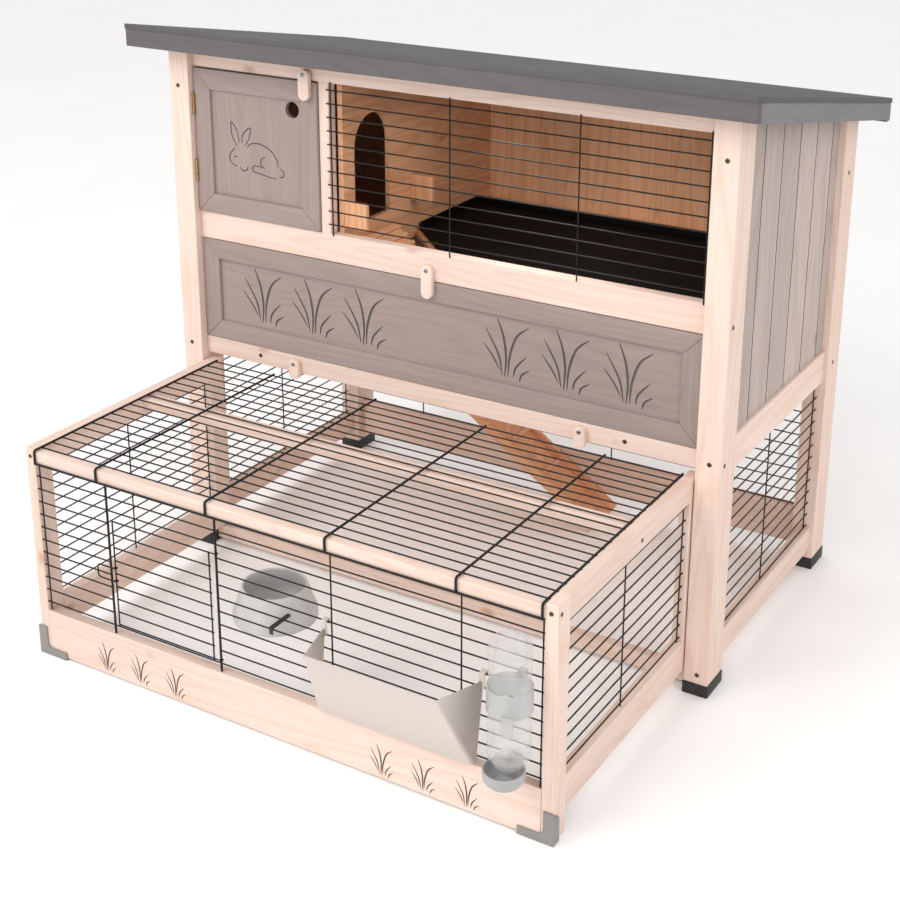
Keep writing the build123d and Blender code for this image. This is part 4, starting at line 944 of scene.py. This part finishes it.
# Turned outlines: radius and height above the bottom, from the middle out and back to the middle.
BOWL_OUTLINE = [
    (0, 0.5), (60, 0), (65, 0.6), (68.2, 2.5), (69, 5), (69, 12), (68, 16.5), (64, 27), (58.8, 43),
    (54.6, 56), (53.2, 59.2), (51.6, 60), (50.2, 59.2), (49.8, 57), (53.5, 43), (58, 28), (61, 19),
    (60.5, 12), (57, 8.6), (50, 8), (0, 8),
]
BOTTLE_OUTLINE = [
    (0, 0), (8, 0), (9, 1), (9, 22), (10, 24.0), (20, 24.8), (28, 26.2), (30.4, 28.5), (31, 32), (31, 102),
    (30.4, 104.5), (30.4, 142), (31, 144.5), (31, 200), (30.2, 208), (27.6, 213), (24, 215), (14, 213.2),
    (0, 212.4),
]
CUP_OUTLINE = [
    (0, 0), (21, 0), (24, 0.8), (28, 5), (30.4, 10), (31, 14), (31, 22.8), (30.3, 24), (29.1, 24),
    (28.5, 22.8), (28.5, 15), (27, 9.5), (24, 5.4), (20, 4), (14, 4), (12.5, 5.2), (11, 5.2), (9.5, 4),
    (0, 4),
]
# These two are rings, so their outlines close on themselves.
COLLAR_OUTLINE = [
    (9.4, 0.6), (10, 0), (22, 0), (23, 0.8), (23, 4.2), (22, 5), (10, 5), (9.4, 4.4), (9.4, 0.6),
]
BAND_OUTLINE = [
    (31.1, 1), (31.6, 0), (33.0, 0), (33.5, 1), (33.5, 37), (33.0, 38), (31.6, 38), (31.1, 37), (31.1, 1),
]

# The hooks' flat strap: its thickness, the y of its back, and how far its tip hangs below its bend.
STRAP = 2.0
STRAP_BACK = spans("hay_rack")[1][1]
STRAP_DROP = 7.7


def hook(front, low, over, corner):
    """The side outline of a strap that rises from low, passes over a row at over and hangs behind it."""
    back, inner = STRAP_BACK, STRAP_BACK - STRAP
    top, tip = over + STRAP, over - STRAP_DROP
    return [(front, low), (front + STRAP, low), (front + STRAP, over), (inner, over), (inner, tip),
            (back, tip), (back, top - corner), (back - corner, top), (front, top)]


def make_bowl():
    bottom = spans("food_bowl")[2][0]
    turned("bowl_body", middle("food_bowl"), bottom, BOWL_OUTLINE, "bowl", ("food_bowl",), "bowl")
    front, back, low, high, foot = -500.6, -453.2, 201.3, 205.0, 192.0
    strap = [(front, foot), (front + 1.7, foot), (front + 1.7, low), (back, low), (back, high), (front, high)]
    bm = bmesh.new()
    add_prism(bm, strap, "X", 1.0, 7.6, 0, 0.5)
    add_object("bowl_clip_strap", finished(bm), "bowl", ("bowl_clip",), ("plastic",))


def make_bottle():
    turned(
        "bottle_body", BOTTLE_AXIS, BOTTLE_BOTTOM, BOTTLE_OUTLINE,
        "bottle", ("water_bottle",), "clear")
    x = BOTTLE_AXIS[0]
    _, (front, back), (bottom, top) = spans("bottle_cup")
    turned("cup_body", (x, front + CUP_RADIUS), bottom, CUP_OUTLINE, "bottle", (), "smoke")
    bm = bmesh.new()
    add_box(bm, (x - 10.0, x + 10.0), (back - 7.5, back), (top - 20.0, top), 0, 1.4)
    add_object("cup_bracket", finished(bm), "bottle", ("bottle_cup",), ("smoke",))
    collar = top - COLLAR_HEIGHT
    turned("cup_collar", BOTTLE_AXIS, collar, COLLAR_OUTLINE, "bottle", (), "clear")
    turned("bottle_band", BOTTLE_AXIS, BAND_BOTTOM, BAND_OUTLINE, "bottle", (), "light_smoke")


def make_band_hook():
    """The band's tab in front, its lug behind, and the strap over the wire."""
    tab = [(452, 240), (452, 214), (454.5, 208.5), (459, 206), (464, 206), (468, 208.5), (470, 213),
           (470, 240)]
    hook_x = (441.0, 453.0)
    front = spans("bottle_holder")[1][0]
    bm = bmesh.new()
    add_prism(bm, tab, "Y", front, front + 2.8, 0, 1.0)
    add_box(bm, hook_x, (-504.0, -501.0), (262.0, 277.0), 0, 0.8)
    add_prism(bm, hook(-503.0, 262.0, 272.3, 1.1), "X", *hook_x, 0, 0.5)
    add_object("band_hook", finished(bm), "bottle", ("bottle_holder",), ("light_smoke",))


RACK_BACK, RACK_FRONT = -501.2, -581.2
RACK_Z = (93.0, 236.0)
RACK_SHEET = 2.0


def rack_corners(bm):
    """The rack's outer corners. The first letter is top or bottom, then front or back, then left or right."""
    low, high = RACK_Z
    lip = RACK_BACK - 9.0
    places = {
        "tbl": (106.0, RACK_BACK, high), "tfl": (126.0, RACK_FRONT, high),
        "tfr": (354.0, RACK_FRONT, high), "tbr": (385.0, RACK_BACK, high),
        "bbl": (96.0, RACK_BACK, low), "bfl": (98.2, lip, low),
        "bfr": (370.6, lip, low), "bbr": (374.0, RACK_BACK, low),
    }
    return {name: bm.verts.new(Vector(place) * MM) for name, place in places.items()}


def make_rack():
    """One folded sheet: front, bottom lip and two leaning ends, on two hooks."""
    bm = bmesh.new()
    v = rack_corners(bm)
    for names in ("tfl bfl bfr tfr", "tbl bbl bfl tfl", "tfr bfr bbr tbr", "bfl bbl bbr bfr"):
        bm.faces.new([v[name] for name in names.split()])
    folds = [e for e in bm.edges if len(e.link_faces) == 2]
    bmesh.ops.bevel(bm, geom=folds, offset=2.5 * MM, segments=4, profile=0.5, affect="EDGES")
    rack = add_object("rack_body", finished(bm, 40), "rack", ("hay_rack",), ("rack",))
    thick = rack.modifiers.new("sheet", "SOLIDIFY")
    thick.thickness = RACK_SHEET * MM
    thick.offset = -1.0
    bm = bmesh.new()
    for x_span in ((103.0, 112.0), (379.0, 388.0)):
        add_prism(bm, hook(-503.2, 224.0, 248.6, 1.0), "X", *x_span, 0, 0.5)
    add_object("rack_hooks", finished(bm), "rack", (), ("rack",))


# ---- Finishes for the CAD pieces that are shown as they are --------------------------------

FINISH = {
    "spruceZ": ("front_posts", "rear_posts", "front_uprights", "run_front_posts", "run_rear_stiles"),
    "spruceX": ("front_top_rail", "front_mid_rail", "front_bottom_rail", "front_sill_rail", "back_mid_rail",
                "back_bottom_board", "run_front_rail", "run_crossbar"),
    "spruceY": ("side_rails", "run_side_rails"),
    "sides": ("side_panel_left", "side_panel_right"),
    "back": ("back_panel",),
    "insideX": ("mid_floor", "upper_floor", "upper_ramp", "lower_ramp"),
    "insideY": ("partition",),
    "insideZ": ("arch_guards",),
    "tray": ("tray",),
    "fascia": ("roof_front_fascia",),
    "edge_fascia": ("roof_edge_fascias",),
    "brass": ("nest_hinge_fixed", "nest_hinge_moving", "roof_hinge_fixed", "roof_hinge_moving"),
    "zinc": ("flap_pins",),
}


def finish_nodes():
    for key, names in FINISH.items():
        for name in names:
            thing = NODES[name]
            thing.data.materials.clear()
            thing.data.materials.append(MATERIAL[key])


def inner_faces(name, key, inward):
    """Gives a panel's inner side the warm unstained wood."""
    mesh = NODES[name].data
    mesh.materials.append(MATERIAL[key])
    for face in mesh.polygons:
        if face.normal.dot(Vector(inward)) > 0.9:
            face.material_index = 1


def groove_faces(name):
    """Darkens the V grooves between a panel's boards."""
    mesh = NODES[name].data
    mesh.materials.append(MATERIAL["groove"])
    slot_index = len(mesh.materials) - 1
    for face in mesh.polygons:
        if 0.2 < max(abs(face.normal.x), abs(face.normal.y)) < 0.98 and abs(face.normal.z) < 0.1:
            face.material_index = slot_index


def make_floor():
    bm = bmesh.new()
    bmesh.ops.create_grid(bm, x_segments=2, y_segments=2, size=FLOOR_HALF)
    mesh = bpy.data.meshes.new("floor")
    bm.to_mesh(mesh)
    bm.free()
    floor = bpy.data.objects.new("floor", mesh)
    scene.collection.objects.link(floor)
    g = Graph("pale_floor")
    tone = g.noise(g.stretched((3.0, 3.0, 3.0)), 1.0, 2.0)
    colour = g.mix(g.span(tone, 0.3, 0.7), (0.93, 0.93, 0.93, 1), (0.95, 0.95, 0.95, 1))
    mesh.materials.append(g.out(Base_Color=colour, Roughness=0.9, Specular_IOR_Level=0.1))


make_camera()
make_world()
for name, settings in LIGHTS.items():
    make_area_light(name, *settings)
make_floor()
finish_nodes()
inner_faces("side_panel_left", "insideZ", (1, 0, 0))
inner_faces("side_panel_right", "insideZ", (-1, 0, 0))
inner_faces("back_panel", "inner_back", (0, -1, 0))
for panel in ("side_panel_left", "side_panel_right", "back_panel"):
    groove_faces(panel)
make_wires()
make_doors()
make_screws()
make_buttons()
make_feet()
make_brackets()
make_roof()
make_bowl()
make_bottle()
make_band_hook()
make_rack()
